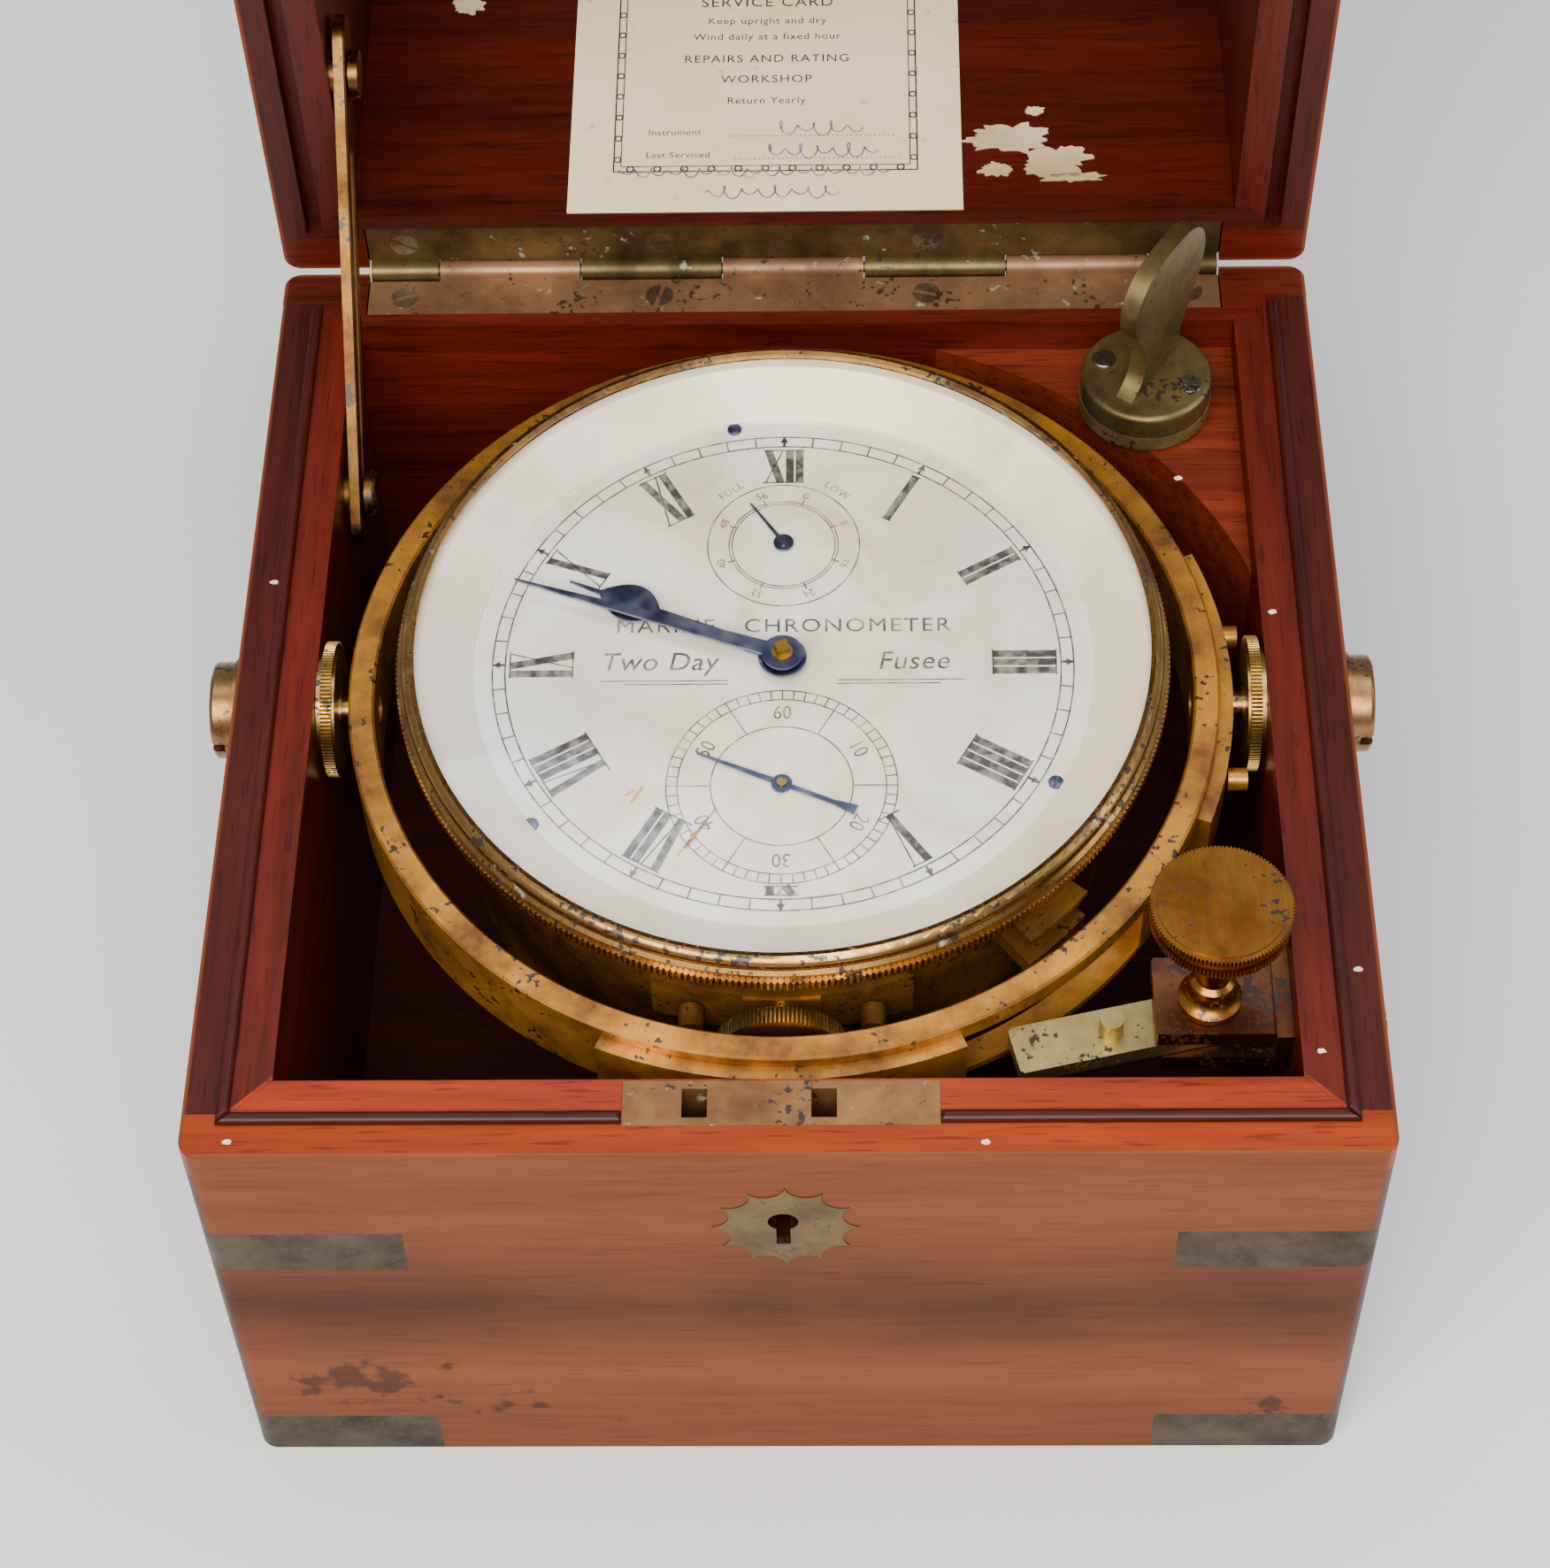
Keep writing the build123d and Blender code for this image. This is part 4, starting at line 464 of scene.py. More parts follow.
def settle(piece, body, material, smooth=None):
    """Finish a piece: its material, its smoothing when asked, and its body."""
    piece.data.materials.clear()
    piece.data.materials.append(material)
    if smooth is not None:
        choose(piece)
        bpy.ops.object.shade_smooth_by_angle(angle=smooth)
    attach(piece, body)
    return piece


def start_sheet(name):
    """An empty mesh, open for strokes to be added to it."""
    clear_selection()
    bpy.ops.mesh.primitive_plane_add(size=MM)
    piece = bpy.context.object
    piece.name = name
    piece.data.name = name
    bpy.ops.object.mode_set(mode="EDIT")
    bpy.ops.mesh.delete(type="VERT")
    return piece


def stroke(start, end, width):
    """A straight mark in the open sheet, in millimetres."""
    run = Vector(end) - Vector(start)
    middle = (*(Vector(end) + Vector(start)) / 2 * MM, 0)
    bpy.ops.mesh.primitive_plane_add(size=MM, location=middle)
    bpy.ops.transform.resize(value=(run.length, width, 1), center_override=middle)
    bpy.ops.transform.rotate(value=-atan2(run.y, run.x), orient_axis="Z", center_override=middle)


def ring_mark(centre, radius, width, points=120):
    """A round line in the open sheet, in millimetres."""
    spot = (centre[0] * MM, centre[1] * MM, 0)
    bpy.ops.mesh.primitive_circle_add(vertices=points, radius=(radius - width / 2) * MM, location=spot)
    grow = (radius + width / 2) / (radius - width / 2)
    bpy.ops.mesh.extrude_edges_move()
    bpy.ops.transform.resize(value=(grow, grow, 1), center_override=spot)


def close_sheet(piece, thickness, matrix):
    """Give the marks their thickness and set them on their surface."""
    bpy.ops.object.mode_set(mode="OBJECT")
    apply_modifier(piece, "SOLIDIFY", thickness=thickness, offset=0.0)
    choose(piece)
    bpy.ops.object.mode_set(mode="EDIT")
    bpy.ops.mesh.select_all(action="SELECT")
    bpy.ops.mesh.normals_make_consistent(inside=False)
    bpy.ops.object.mode_set(mode="OBJECT")
    place(piece, matrix)


def turned(centre, radius, angle, across=0.0):
    """Point at a clock angle in degrees from the top, and a distance clockwise of it."""
    a = radians(angle)
    return (centre[0] + radius * sin(a) + across * cos(a), centre[1] + radius * cos(a) - across * sin(a))


def lettering(words, size, at, turn=0.0, squeeze=1.0, spacing=1.0, font_shear=0.0):
    """Words as a flat mesh, centred on a point in the sheet's plane, in millimetres."""
    clear_selection()
    bpy.ops.object.text_add()
    text = bpy.context.object
    text.data.body = words
    text.data.size = size * MM
    text.data.align_x = "CENTER"
    text.data.align_y = "CENTER"
    text.data.space_character = spacing
    text.data.shear = font_shear
    text.data.resolution_u = 3
    bpy.ops.object.convert(target="MESH")
    made = bpy.context.object
    spin = Matrix.Rotation(-radians(turn), 4, "Z") @ Matrix.Diagonal((squeeze, 1, 1, 1))
    place(made, Matrix.Translation((at[0] * MM, at[1] * MM, 0)) @ spin)
    return made


def join_into(piece, others):
    choose(piece)
    for other in others:
        other.select_set(True)
    bpy.ops.object.join()


BAR = 1.36  # width of a thick stroke in the hour numerals
HAIR = 0.26
PITCH = 1.66
LETTER_W = {"I": PITCH, "V": 3.5, "X": 3.6}


def roman(numeral, angle, low, high):
    """An hour numeral drawn radially: thick bars, hairlines, and a serif line along its head and foot."""
    whole = sum(LETTER_W[letter] for letter in numeral)
    x = -whole / 2

    def mark(x0, r0, x1, r1, width):
        stroke(turned((0, 0), r0, angle, x0), turned((0, 0), r1, angle, x1), width)

    for letter in numeral:
        middle = x + LETTER_W[letter] / 2
        if letter == "I":
            mark(middle, low, middle, high, BAR)
        elif letter == "V":
            mark(middle - 1.05, high, middle + 0.15, low, BAR)
            mark(middle + 1.45, high, middle + 0.35, low, HAIR)
        else:
            mark(middle - 1.05, high, middle + 1.05, low, BAR)
            mark(middle + 1.45, high, middle - 1.45, low, HAIR)
        x += LETTER_W[letter]
    for radius in (low, high):
        mark(-whole / 2 - 0.1, radius, whole / 2 + 0.1, radius, HAIR)


def speck(name, spot, facing, across, tall, seed, thickness=0.15 * MM, ragged=0.35, points=22):
    """A ragged flake lying on a surface."""
    clear_selection()
    bpy.ops.mesh.primitive_circle_add(vertices=points, radius=1.0, fill_type="NGON")
    flake = bpy.context.object
    flake.name = name
    for number, vertex in enumerate(flake.data.vertices):
        turn = 2 * pi * number / points
        swell = 1 + ragged * noise.noise(Vector((2.2 * cos(turn), 2.2 * sin(turn), seed * 3.7)))
        swell += ragged * 0.6 * noise.noise(Vector((7 * cos(turn), 7 * sin(turn), seed * 1.3)))
        vertex.co *= swell
    apply_modifier(flake, "SOLIDIFY", thickness=1.0, offset=1.0)
    lie = Vector(facing).to_track_quat("Z", "Y").to_matrix().to_4x4()
    place(flake, Matrix.Translation(spot) @ lie @ Matrix.Diagonal((across, tall, thickness, 1)))
    return flake


# ------------------------------------------------------------------ settings shown to the user
class ChronometerLooks(bpy.types.PropertyGroup):
    """Sizes and colours of the finish."""

    backdrop: FloatVectorProperty(name="Backdrop", description="Colour of the studio paper", subtype="COLOR",
                                  size=4, min=0, max=1, default=srgb("#e0e0e2"))
    key_power: FloatProperty(name="Key light", description="Power of the large light in front and above",
                             unit="POWER", default=37.0, min=0)
    fill_power: FloatProperty(name="Fill light", description="Power of the light straight above",
                              unit="POWER", default=6.5, min=0)
    focal_length: FloatProperty(name="Lens", description="Focal length of the camera",
                                subtype="DISTANCE_CAMERA", default=83.06, min=10)
    engraving: FloatProperty(name="Engraving", description="Thickness of the filled engraving", unit="LENGTH",
                             default=0.03 * MM, min=0)
    ink: FloatProperty(name="Ink", description="Thickness of the printing on the label", unit="LENGTH",
                       default=0.02 * MM, min=0)
    line: FloatProperty(name="Fine line", description="Width of the dial's fine lines, in millimetres",
                        default=0.26, min=0.05)
    flakes: IntProperty(name="Paint flakes", description="White paint flakes on the box", default=7, min=0,
                        max=7)


class ChronometerOperator:
    """What the operators share."""

    bl_options = {"REGISTER", "UNDO"}

    @property
    def looks(self):
        return bpy.context.scene.chronometer


class CHRONO_OT_stage(ChronometerOperator, bpy.types.Operator):
    """Lay the studio paper, hang the lights and set up the camera"""

    bl_idname = "chrono.stage"
    bl_label = "Studio and Camera"

    def execute(self, context):
        looks = self.looks
        clear_selection()
        bpy.ops.mesh.primitive_plane_add(size=7.0)
        paper = context.object
        paper.name = "studio_paper"
        paper.data.materials.append(studio_paper("seamless paper", looks.backdrop))
        for name, spot, aim, across, power, tint in (
            ("key", (-0.2, -0.85, 1.1), (0, 0, 0.1), (1.3, 0.8), looks.key_power, "#fffaf2"),
            ("top", (0.1, 0.2, 1.35), (0, 0, 0.1), (1.0, 0.7), looks.fill_power, "#f8faff"),
            ("rim", (1.1, -0.1, 0.7), (0, 0, 0.1), (0.5, 0.9), looks.fill_power * 0.5, "#ffffff"),
        ):
            clear_selection()
            bpy.ops.object.light_add(type="AREA", location=spot)
            lamp = context.object
            lamp.name = name
            lamp.data.shape = "RECTANGLE"
            lamp.data.size, lamp.data.size_y = across
            lamp.data.energy = power
            lamp.data.color = srgb(tint)[:3]
            lamp.rotation_euler = (Vector(aim) - Vector(spot)).to_track_quat("-Z", "Y").to_euler()
        world = bpy.data.worlds.new("studio air")
        world.use_nodes = True
        world.node_tree.nodes["Background"].inputs["Color"].default_value = srgb("#dfe3ea")
        world.node_tree.nodes["Background"].inputs["Strength"].default_value = 0.5
        context.scene.world = world
        self.aim_camera(context, looks.focal_length)
        return {"FINISHED"}

    def aim_camera(self, context, lens):
        yaw, down, roll = radians(-2.115), radians(52.957), radians(-2.023)
        forward = Vector((sin(yaw) * cos(down), cos(yaw) * cos(down), -sin(down)))
        level = Vector((cos(yaw), -sin(yaw), 0))
        upright = level.cross(forward)
        right = cos(roll) * level + sin(roll) * upright
        up = cos(roll) * upright - sin(roll) * level
        clear_selection()
        bpy.ops.object.camera_add()
        camera = context.object
        camera.name = "camera"
        camera.data.lens = lens
        camera.data.clip_start = 0.01
        at = Vector((10.72, -375.34, 562.64)) * MM
        camera.matrix_world = Matrix((
            (right.x, up.x, -forward.x, at.x),
            (right.y, up.y, -forward.y, at.y),
            (right.z, up.z, -forward.z, at.z),
            (0, 0, 0, 1),
        ))
        context.scene.camera = camera


class CHRONO_OT_woodwork(ChronometerOperator, bpy.types.Operator):
    """Polish the mahogany boards, linings, beads and corner block"""

    bl_idname = "chrono.woodwork"
    bl_label = "Mahogany"

    def execute(self, context):
        dress("case_front_wall",
              mahogany("mahogany front board", "X", light="#9c3a0c", dark="#6c2408", faded=True))
        dress("case_back_wall",
              mahogany("mahogany back board", "X", light="#64200f", dark="#300d07", faded=True))
        dress("case_side_walls",
              mahogany("mahogany side board", "Y", light="#4a180e", dark="#280a05", faded=True))
        dress("case_base_board", mahogany("mahogany base", "X", light="#4a160b", dark="#240805", gloss=0.5))
        lid_board = mahogany("mahogany lid board", "X", light="#661a08", dark="#3a0c06", faded=True,
                             on_lid=True)
        for node in ("lid_front_wall", "lid_back_wall", "lid_top_panel"):
            dress(node, lid_board)
        dress("lid_side_walls",
              mahogany("mahogany lid side", "Y", light="#4c160b", dark="#280b05", faded=True,
                                         on_lid=True))
        dress("case_linings", mahogany("mahogany lining", "XY", light="#651a0b", dark="#300905", sunlit=True))
        dress("lid_linings", mahogany("mahogany lid lining", "XZ", light="#58180b", dark="#2e0a05"))
        dress("dust_beads", mahogany("mahogany bead", "XY", light="#46150c", dark="#200805"))
        dress("corner_block", mahogany("mahogany block", "X", light="#7e3018", dark="#47150a", gloss=0.35))
        return {"FINISHED"}


class CHRONO_OT_metalwork(ChronometerOperator, bpy.types.Operator):
    """Give the brass, steel and silvered parts their age"""

    bl_idname = "chrono.metalwork"
    bl_label = "Metalwork"

    def execute(self, context):
        gilt = old_brass("gilt brass movement", clean="#c9a050", tarnish="#a07a38", specks=0.1,
                         rough=(0.25, 0.4))
        steel = filed_steel("dull screw steel")
        blued = blued_steel("blued steel hands")
        finishes = {
            "corner_straps": old_brass("bronzed strap brass", clean="#514530", tarnish="#31291f", wear=0.45,
                                       rough=(0.42, 0.6), specks=0.9, metallic=0.75),
            "escutcheon": old_brass("khaki keyhole brass", clean="#786540", tarnish="#574932",
                                    rough=(0.35, 0.5)),
            "lock": old_brass("red-brown lock brass", clean="#a07346", tarnish="#704a32", rough=(0.38, 0.55),
                              verdigris=0.1, metallic=0.7),
            "lock_bracket": old_brass("coppery bracket brass", clean="#8a5a3c", tarnish="#532f20",
                                      rough=(0.3, 0.5), specks=0.8),
            "hinge_case_leaf": old_brass("grey-brown hinge brass", clean="#906c4e", tarnish="#6b4c37",
                                         rough=(0.35, 0.55), specks=0.2, verdigris=0.1, metallic=0.55),
            "hinge_lid_leaf": old_brass("olive hinge brass", clean="#6c5d3a", tarnish="#40361f",
                                        rough=(0.35, 0.5), verdigris=0.15, metallic=0.8),
            "gimbal_ring": old_brass("golden ring brass", clean="#c98a30", tarnish="#714820", wear=0.5,
                                     rough=(0.28, 0.48), specks=0.3, verdigris=0.0, metallic=0.6),
            "bowl": old_brass("dull bowl brass", clean="#a4702a", tarnish="#5e3c1a", rough=(0.3, 0.5),
                              metallic=0.65),
            "bezel": old_brass("milled bezel brass", clean="#b78f50", tarnish="#6f5134", rough=(0.2, 0.42),
                               specks=0.9, verdigris=0.1),
            "gimbal_lock_nuts": old_brass("bright nut brass", clean="#cfae62", tarnish="#86683a",
                                          rough=(0.2, 0.4)),
            "gimbal_pivot_screws": old_brass("brown screw brass", clean="#b08a5a", tarnish="#664528",
                                             rough=(0.22, 0.42), specks=0.8),
            # brass tinted amber: partly its own colour, partly a painted warm reflection
            "thumb_screw": old_brass("thumb screw brass with painted warm reflection", clean="#b07a34", tarnish="#7a4a20", wear=0.5,
                                     rough=(0.22, 0.38), specks=0.6),
            "lock_arm": old_brass("filed yellow brass", clean="#c9b67a", tarnish="#a4935c", rough=(0.34, 0.5),
                                  specks=0.0),
            "key_head": old_brass("olive key brass", clean="#857348", tarnish="#4f4328", rough=(0.34, 0.5),
                                  specks=0.3, metallic=0.75),
            "lid_stay_arm": old_brass("brown stay brass", clean="#74522a", tarnish="#4a3118",
                                      rough=(0.28, 0.45)),
            "dial": silvered_brass("silvered dial"),
            "reflector_ring": silvered_brass("spun silvered reflector", tone="#fff4da", stain="#e6d4a8",
                                             rough=0.4,
                                             metallic=0.15, spun=True),
            "lid_label": old_paper("yellowed label paper"),
            "bezel_glass": crown_glass("crown glass"),
            "hairspring": blued,
        }
        finishes["ring_pivot_pads"] = finishes["gimbal_ring"]
        finishes["hinge_pin"] = finishes["hinge_case_leaf"]
        finishes["lid_lock_hooks"] = finishes["lock"]
        finishes["bowl_pivots"] = finishes["gimbal_lock_nuts"]
        finishes["key_body"] = old_brass("olive key plate", clean="#97845a", tarnish="#655738",
                                         rough=(0.3, 0.5),
                                         specks=0.4, metallic=0.6)
        for node in ("stay_stud", "stay_pivot_screw"):
            finishes[node] = finishes["lid_stay_arm"]
        for node in ("case_wood_screws", "lid_wood_screws", "key_screws", "lock_bolt", "detent"):
            finishes[node] = steel
        for node in ("hour_hand", "minute_hand", "seconds_hand", "up_down_hand"):
            finishes[node] = blued
        for node in ("pillar_plate", "top_plate", "balance_cock", "spring_barrel", "fusee", "centre_wheel",
                     "third_wheel", "fourth_wheel", "escape_wheel", "balance", "minute_wheel", "hour_wheel"):
            finishes[node] = gilt
        for node, material in finishes.items():
            dress(node, material)
        return {"FINISHED"}


class CHRONO_OT_hour_ring(ChronometerOperator, bpy.types.Operator):
    """Engrave the minute track and the hour numerals"""

    bl_idname = "chrono.hour_ring"
    bl_label = "Hour Ring"

    numerals = ("XII", "I", "II", "III", "IIII", "V", "VI", "VII", "VIII", "IX", "X", "XI")
    inner, outer = 45.8, 47.9
    foot, head = 34.6, 45.0

    def execute(self, context):
        fine = self.looks.line
        piece = start_sheet("dial_hour_ring")
        for radius in (self.inner, self.outer):
            ring_mark((0, 0), radius, fine, points=180)
        for minute in range(60):
            angle = minute * 6
            width = fine * (1.8 if minute % 5 == 0 else 1.0)
            stroke(turned((0, 0), self.inner, angle), turned((0, 0), self.outer, angle), width)
        for hour in range(12):
            spot = turned((0, 0), self.outer - 0.8, hour * 30)
            bpy.ops.mesh.primitive_circle_add(vertices=3, radius=0.85 * MM, fill_type="NGON",
                                              location=(spot[0] * MM, spot[1] * MM, 0),
                                              rotation=(0, 0, -radians(hour * 30)))
        up_down_edge = UP_DOWN_AT / MM + 13.4
        seconds_edge = -SECONDS_AT / MM + 19.2
        for hour, numeral in enumerate(self.numerals):
            foot = {0: up_down_edge, 6: seconds_edge}.get(hour, self.foot)
            roman(numeral, hour * 30, foot, self.head)
        close_sheet(piece, self.looks.engraving, DIAL)
        settle(piece, "bowl",
               worn_ink("black wax in the hour ring", strong="#3c3a38", weak="#8d8980"))
        return {"FINISHED"}


class CHRONO_OT_small_dials(ChronometerOperator, bpy.types.Operator):
    """Engrave the seconds dial, the up and down dial, and the plain words between them"""

    bl_idname = "chrono.small_dials"
    bl_label = "Small Dials"

    def execute(self, context):
        fine = self.looks.line * 0.85
        seconds = (0, SECONDS_AT / MM)
        winding = (0, UP_DOWN_AT / MM)
        piece = start_sheet("dial_small_dials")
        for radius in (18.7, 16.9, 11.5):
            ring_mark(seconds, radius, fine)
        for second in range(60):
            stroke(turned(seconds, 16.9, second * 6), turned(seconds, 18.7, second * 6), fine)
        for second in range(5, 60, 10):
            stroke(turned(seconds, 11.5, second * 6), turned(seconds, 16.9, second * 6), fine)
        for radius in (12.8, 9.2, 8.7):
            ring_mark(winding, radius, fine, points=90)
        for mark in range(8):
            angle = 20 + mark * 320 / 7
            stroke(turned(winding, 8.7, angle), turned(winding, 10.0, angle), fine * 1.6)
        for side, words_at in ((-1, 9.0), (1, 9.0)):
            for row in range(2):
                y = -3.4 - row * 0.7
                stroke((side * words_at, y), (side * (words_at + 21 - row * 4), y), fine)
        close_sheet(piece, self.looks.engraving, DIAL)
        words = []
        for second in range(10, 61, 10):
            words.append(lettering(str(second), 3.7, turned(seconds, 14.2, second * 6), second * 6,
                                   squeeze=0.85))
        for number, angle in (("0", 20), ("8", 66), ("16", 111), ("24", 157), ("32", 203), ("40", 249),
                              ("48", 294), ("56", 340)):
            words.append(lettering(number, 2.0, turned(winding, 11.0, angle), angle))
        for word, angle in (("LOW", 38), ("FULL", -38)):
            words.append(lettering(word, 2.0, turned(winding, 14.6, angle), angle, spacing=1.15))
        words.append(lettering("MARINE   CHRONOMETER", 3.9, (0, 7.6), squeeze=1.08, spacing=1.14))
        words.append(lettering("Two Day", 5.2, (-20.5, 0.3), squeeze=0.95, spacing=1.05, font_shear=0.2))
        words.append(lettering("Fusee", 5.2, (21.5, 0.3), squeeze=0.95, spacing=1.05, font_shear=0.2))
        letters = words[0]
        join_into(letters, words[1:])
        letters.name = "dial_letters"
        apply_modifier(letters, "SOLIDIFY", thickness=self.looks.engraving, offset=0.0)
        place(letters, DIAL)
        ink = worn_ink("rubbed wax in the small dials", strong="#4a4743", weak="#9d988c", scale=380.0)
        settle(piece, "bowl", ink)
        settle(letters, "bowl", ink)
        return {"FINISHED"}


class CHRONO_OT_scratches(ChronometerOperator, bpy.types.Operator):
    """Scratch through the silvering to the yellow brass below"""

    bl_idname = "chrono.scratches"
    bl_label = "Scratches"

    marks = (((-25.2, -26.0), (-23.6, -24.9), 0.45), ((-24.2, -27.4), (-22.4, -24.2), 0.55),
             ((-16.6, -37.6), (-13.6, -33.0), 0.35), ((-15.2, -36.2), (-12.4, -31.4), 0.60),
             ((-13.6, -33.2), (-10.4, -28.4), 0.40), ((-14.6, -33.8), (-13.2, -32.8), 0.45))

    def execute(self, context):
        piece = start_sheet("dial_scratches")
        for start, end, width in self.marks:
            stroke(start, end, width)
        close_sheet(piece, self.looks.engraving, DIAL)
        settle(piece, "bowl", old_brass("bare scratched brass", clean="#e6b41e", tarnish="#bd8a20",
                                                 specks=0.0, metallic=0.15))
        return {"FINISHED"}


class CHRONO_OT_dial_screws(ChronometerOperator, bpy.types.Operator):
    """Set the three slotted screws that hold the dial"""

    bl_idname = "chrono.dial_screws"
    bl_label = "Dial Screws"

    def execute(self, context):
        steel = blued_steel("dark dial screws")
        for number, (x, y, turn) in enumerate(((-40.1, -31.6, 20), (44.1, -24.0, 70), (-8.6, 49.5, -35))):
            clear_selection()
            bpy.ops.mesh.primitive_cylinder_add(vertices=32, radius=1.25 * MM, depth=0.6 * MM)
            screw = context.object
            screw.name = f"dial_screw_{number}"
            apply_modifier(screw, "BEVEL", width=0.2 * MM, segments=2, limit_method="ANGLE")
            bpy.ops.mesh.primitive_cube_add(size=1, scale=(3 * MM, 0.4 * MM, 0.5 * MM),
                                            location=(0, 0, 0.35 * MM))
            slot = context.object
            apply_modifier(screw, "BOOLEAN", object=slot, operation="DIFFERENCE", solver="EXACT")
            bpy.data.objects.remove(slot)
            spin = Matrix.Rotation(radians(turn), 4, "Z")
            place(screw, DIAL @ Matrix.Translation((x * MM, y * MM, 0.2 * MM)) @ spin)
            settle(screw, "bowl", steel, smooth=radians(35))
        return {"FINISHED"}


class CHRONO_OT_label(ChronometerOperator, bpy.types.Operator):
    """Print the repairer's label: a beaded border, plain headings and dotted lines to write on"""

    bl_idname = "chrono.label"
    bl_label = "Label Printing"

    border_w, border_foot, border_head = 54.6, 9.6, 57.5

    def execute(self, context):
        half = self.border_w / 2
        foot, head = self.border_foot, self.border_head
        piece = start_sheet("label_border")
        for gap, width in ((0.0, 0.28), (1.3, 0.2)):
            corners = [(-half + gap, foot + gap), (half - gap, foot + gap), (half - gap, head - gap),
                       (-half + gap, head - gap)]
            for start, end in zip(corners, corners[1:] + corners[:1]):
                stroke(start, end, width)
        for side in (-1, 1):
            for step in range(9):
                spot = (side * (half - 0.65), foot + 3 + step * (head - foot - 6) / 8)
                ring_mark(spot, 0.62, 0.3, points=16)
        for step in range(11):
            for level in (foot + 0.65, head - 0.65):
                ring_mark((-half + 3 + step * (self.border_w - 6) / 10, level), 0.62, 0.3, points=16)
        for level, start in ((18.2, -6.5), (12.6, -5.5)):
            for dot in range(36):
                stroke((start + dot * 0.84, level), (start + dot * 0.84 + 0.32, level), 0.2)
        close_sheet(piece, self.looks.ink, PAPER @ Matrix.Translation((0, 0, self.looks.ink)))
        lines = (("SERVICE CARD", 3.3, 52.2, 1.15), ("Keep upright and dry", 2.3, 47.4, 1.1),
                 ("Wind daily at a fixed hour", 2.3, 43.3, 1.1), ("REPAIRS AND RATING", 2.7, 37.6, 1.15),
                 ("WORKSHOP", 2.7, 32.4, 1.15), ("Return Yearly", 2.3, 27.0, 1.1))
        words = [lettering(text, size, (0, y), spacing=space) for text, size, y, space in lines]
        words.append(lettering("Instrument", 2.0, (-16.5, 19.2), spacing=1.08))
        words.append(lettering("Last Serviced", 2.0, (-15.8, 13.6), spacing=1.08))
        letters = words[0]
        join_into(letters, words[1:])
        letters.name = "label_letters"
        apply_modifier(letters, "SOLIDIFY", thickness=self.looks.ink, offset=0.0)
        place(letters, PAPER @ Matrix.Translation((0, 0, self.looks.ink)))
        ink = worn_ink("printer's ink", strong="#2f2d2b", weak="#55514a")
        settle(piece, "lid", ink)
        settle(letters, "lid", ink)
        self.pen_lines(context)
        return {"FINISHED"}

    def pen_lines(self, context):
        """Looping pen strokes that say nothing."""
        pen = start_sheet("label_pen_lines")
        for start, end, level, height, waves in ((2, 17, 20.0, 2.0, 5), (0, 20, 14.4, 2.0, 7),
                                                 (-27, 22, 9.4, 1.3, 17),
                                                 (-11, 13, 4.4, 1.7, 8)):
            steps = waves * 8
            points = []
            for step in range(steps + 1):
                t = step / steps
                loop = 2 * pi * waves * t
                rise = height * (0.65 + 0.35 * sin(loop * 0.37 + level))
                points.append((start + (end - start) * t + 0.45 * rise * cos(loop), level + rise * sin(loop)))
            for first, second in zip(points, points[1:]):
                stroke(first, second, 0.26)
        close_sheet(pen, self.looks.ink, PAPER @ Matrix.Translation((0, 0, 2 * self.looks.ink)))
        settle(pen, "lid", worn_ink("washed blue-black pen ink", strong="#5f6484", weak="#9a9cae"))


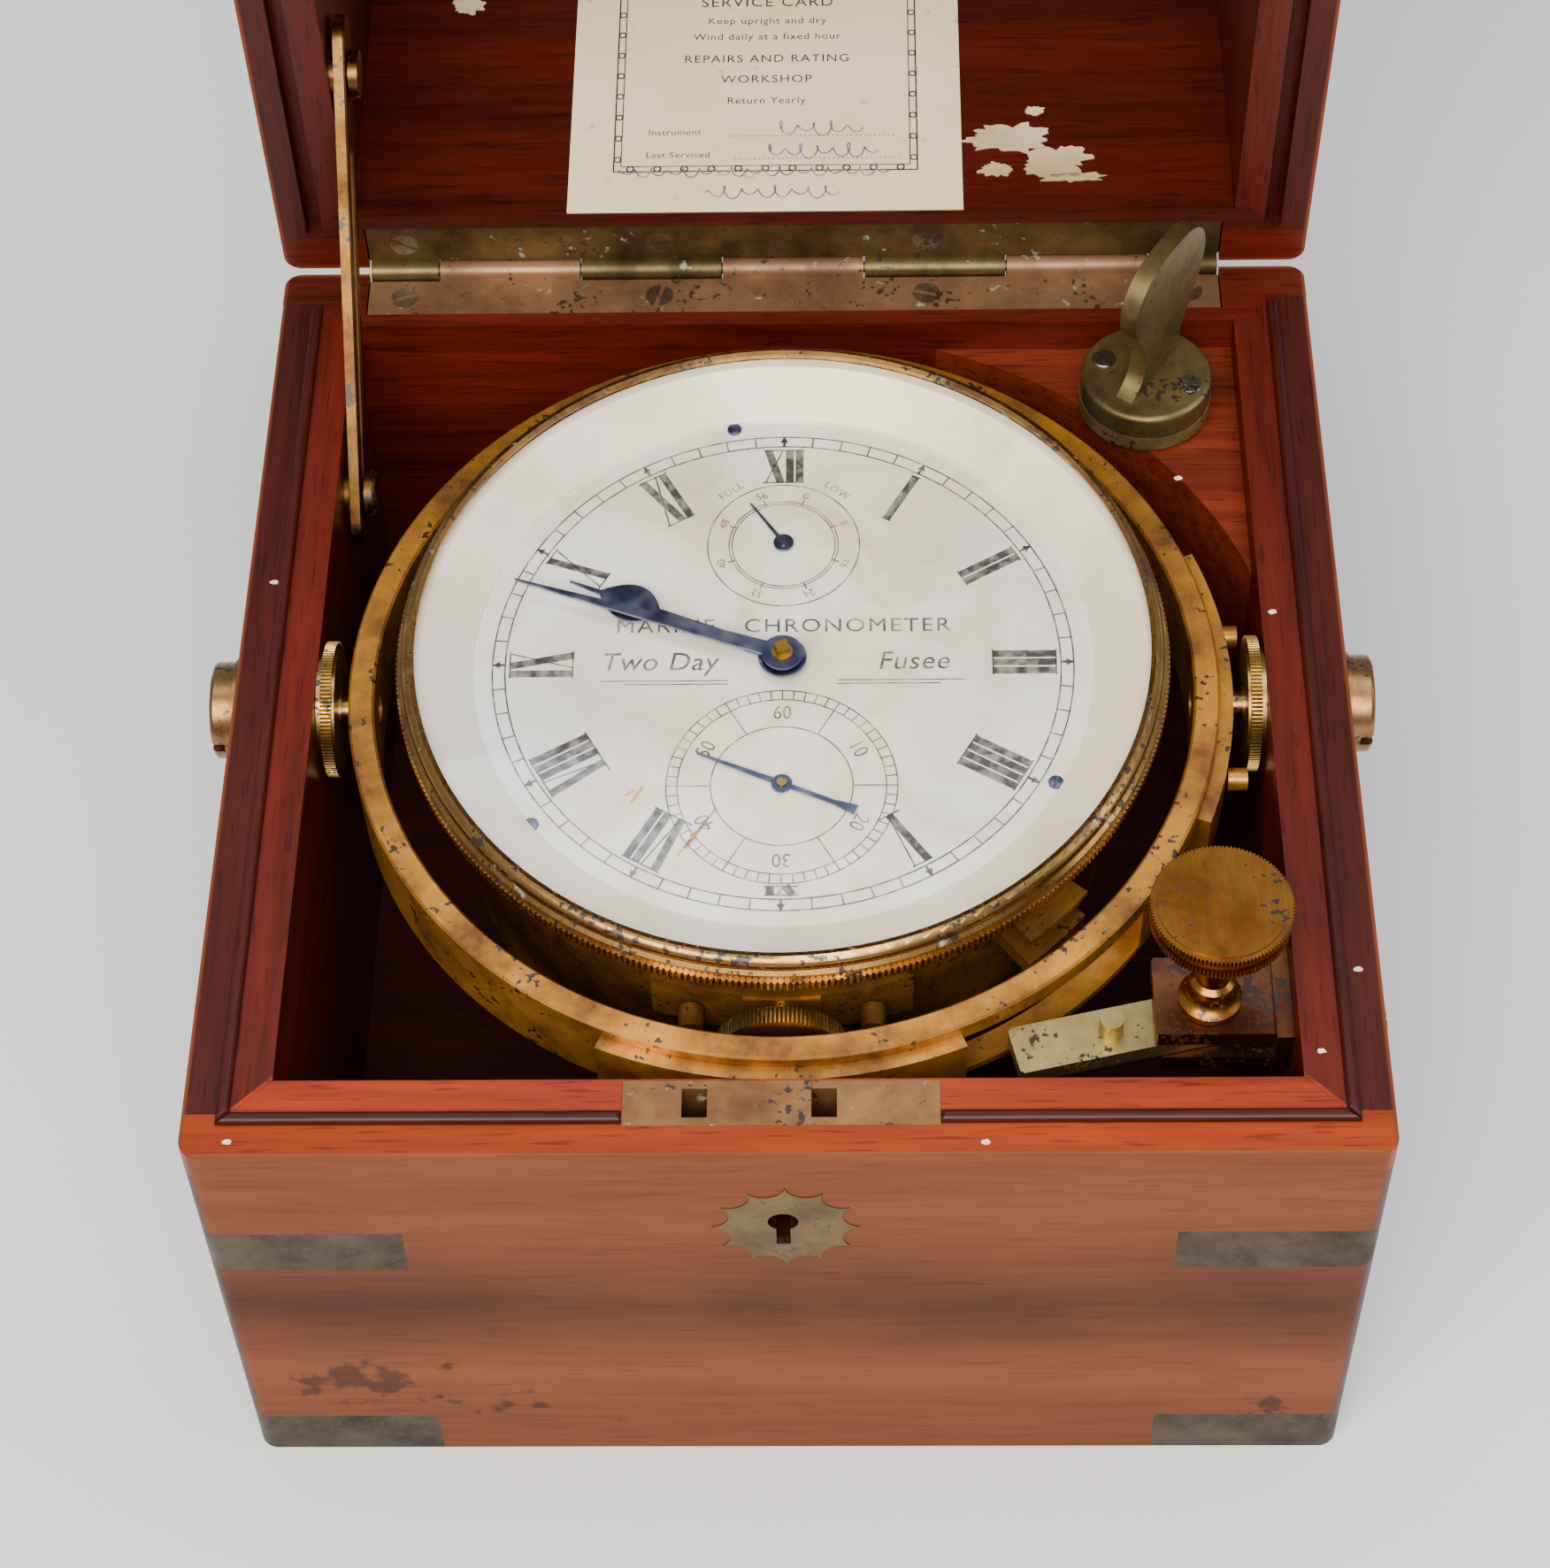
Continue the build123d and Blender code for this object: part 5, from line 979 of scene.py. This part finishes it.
class CHRONO_OT_scraps(ChronometerOperator, bpy.types.Operator):
    """Leave torn paper inside the lid and flakes of white paint on the box"""

    bl_idname = "chrono.scraps"
    bl_label = "Scraps and Flakes"

    def execute(self, context):
        paper = old_paper("torn remnant of a label", fresh="#e2d0ab", aged="#9c7a4c")
        paint = worn_ink("chipped white paint", strong="#e8e2d6", weak="#cfc7b8", rough=0.8)
        torn = ((39.0, 17.0, 7.5, 3.4, 1), (47.5, 11.5, 6.0, 3.4, 2), (36.5, 9.5, 2.6, 1.6, 3),
                (44.0, 24.0, 1.6, 1.0, 4),
                (50.5, 7.5, 5.0, 1.2, 5), (-60.5, 52.5, 3.0, 2.0, 6))
        for number, (x, y, across, tall, seed) in enumerate(torn):
            spot = PAPER @ Vector(((x - PAPER_FOOT.x / MM) * MM, y * MM, -0.25 * MM))
            flake = speck(f"paper_scrap_{number}", spot, PAPER_OUT, across * MM, tall * MM, seed, ragged=0.5,
                          points=48)
            settle(flake, "lid", paper)
        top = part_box("case_front_wall")[1].z
        on_box = ((66.5, 42.0), (-84.5, -90.5), (88.5, -60.0), (81.5, -75.0), (-87.5, 20.0), (80.5, 12.0),
                  (30.0, -91.0))
        for number in range(min(len(on_box), self.looks.flakes)):
            x, y = on_box[number]
            flake = speck(f"paint_flake_{number}", Vector((x * MM, y * MM, top)), (0, 0, 1), 0.7 * MM,
                          0.45 * MM,
                          number + 9, thickness=0.08 * MM)
            settle(flake, "case", paint)
        return {"FINISHED"}


class CHRONO_PT_finish(bpy.types.Panel):
    """The chronometer's finishing steps, in order"""

    bl_idname = "CHRONO_PT_finish"
    bl_label = "Boxed Chronometer"
    bl_space_type = "VIEW_3D"
    bl_region_type = "UI"
    bl_category = "Chronometer"

    def draw(self, context):
        looks = context.scene.chronometer
        for name in ("backdrop", "key_power", "fill_power", "focal_length", "engraving", "ink", "line",
                     "flakes"):
            self.layout.prop(looks, name)
        for step in STEPS:
            self.layout.operator(step.bl_idname)


STEPS = (
    CHRONO_OT_stage,
    CHRONO_OT_woodwork,
    CHRONO_OT_metalwork,
    CHRONO_OT_hour_ring,
    CHRONO_OT_small_dials,
    CHRONO_OT_scratches,
    CHRONO_OT_dial_screws,
    CHRONO_OT_label,
    CHRONO_OT_scraps,
)
CLASSES = (ChronometerLooks, *STEPS, CHRONO_PT_finish)


def register():
    for each in CLASSES:
        bpy.utils.register_class(each)
    bpy.types.Scene.chronometer = PointerProperty(type=ChronometerLooks)


def unregister():
    del bpy.types.Scene.chronometer
    for each in reversed(CLASSES):
        bpy.utils.unregister_class(each)


def main():
    register()
    for step in STEPS:
        group, name = step.bl_idname.split(".")
        getattr(getattr(bpy.ops, group), name)()
    clear_selection()


if __name__ == "__main__":
    main()
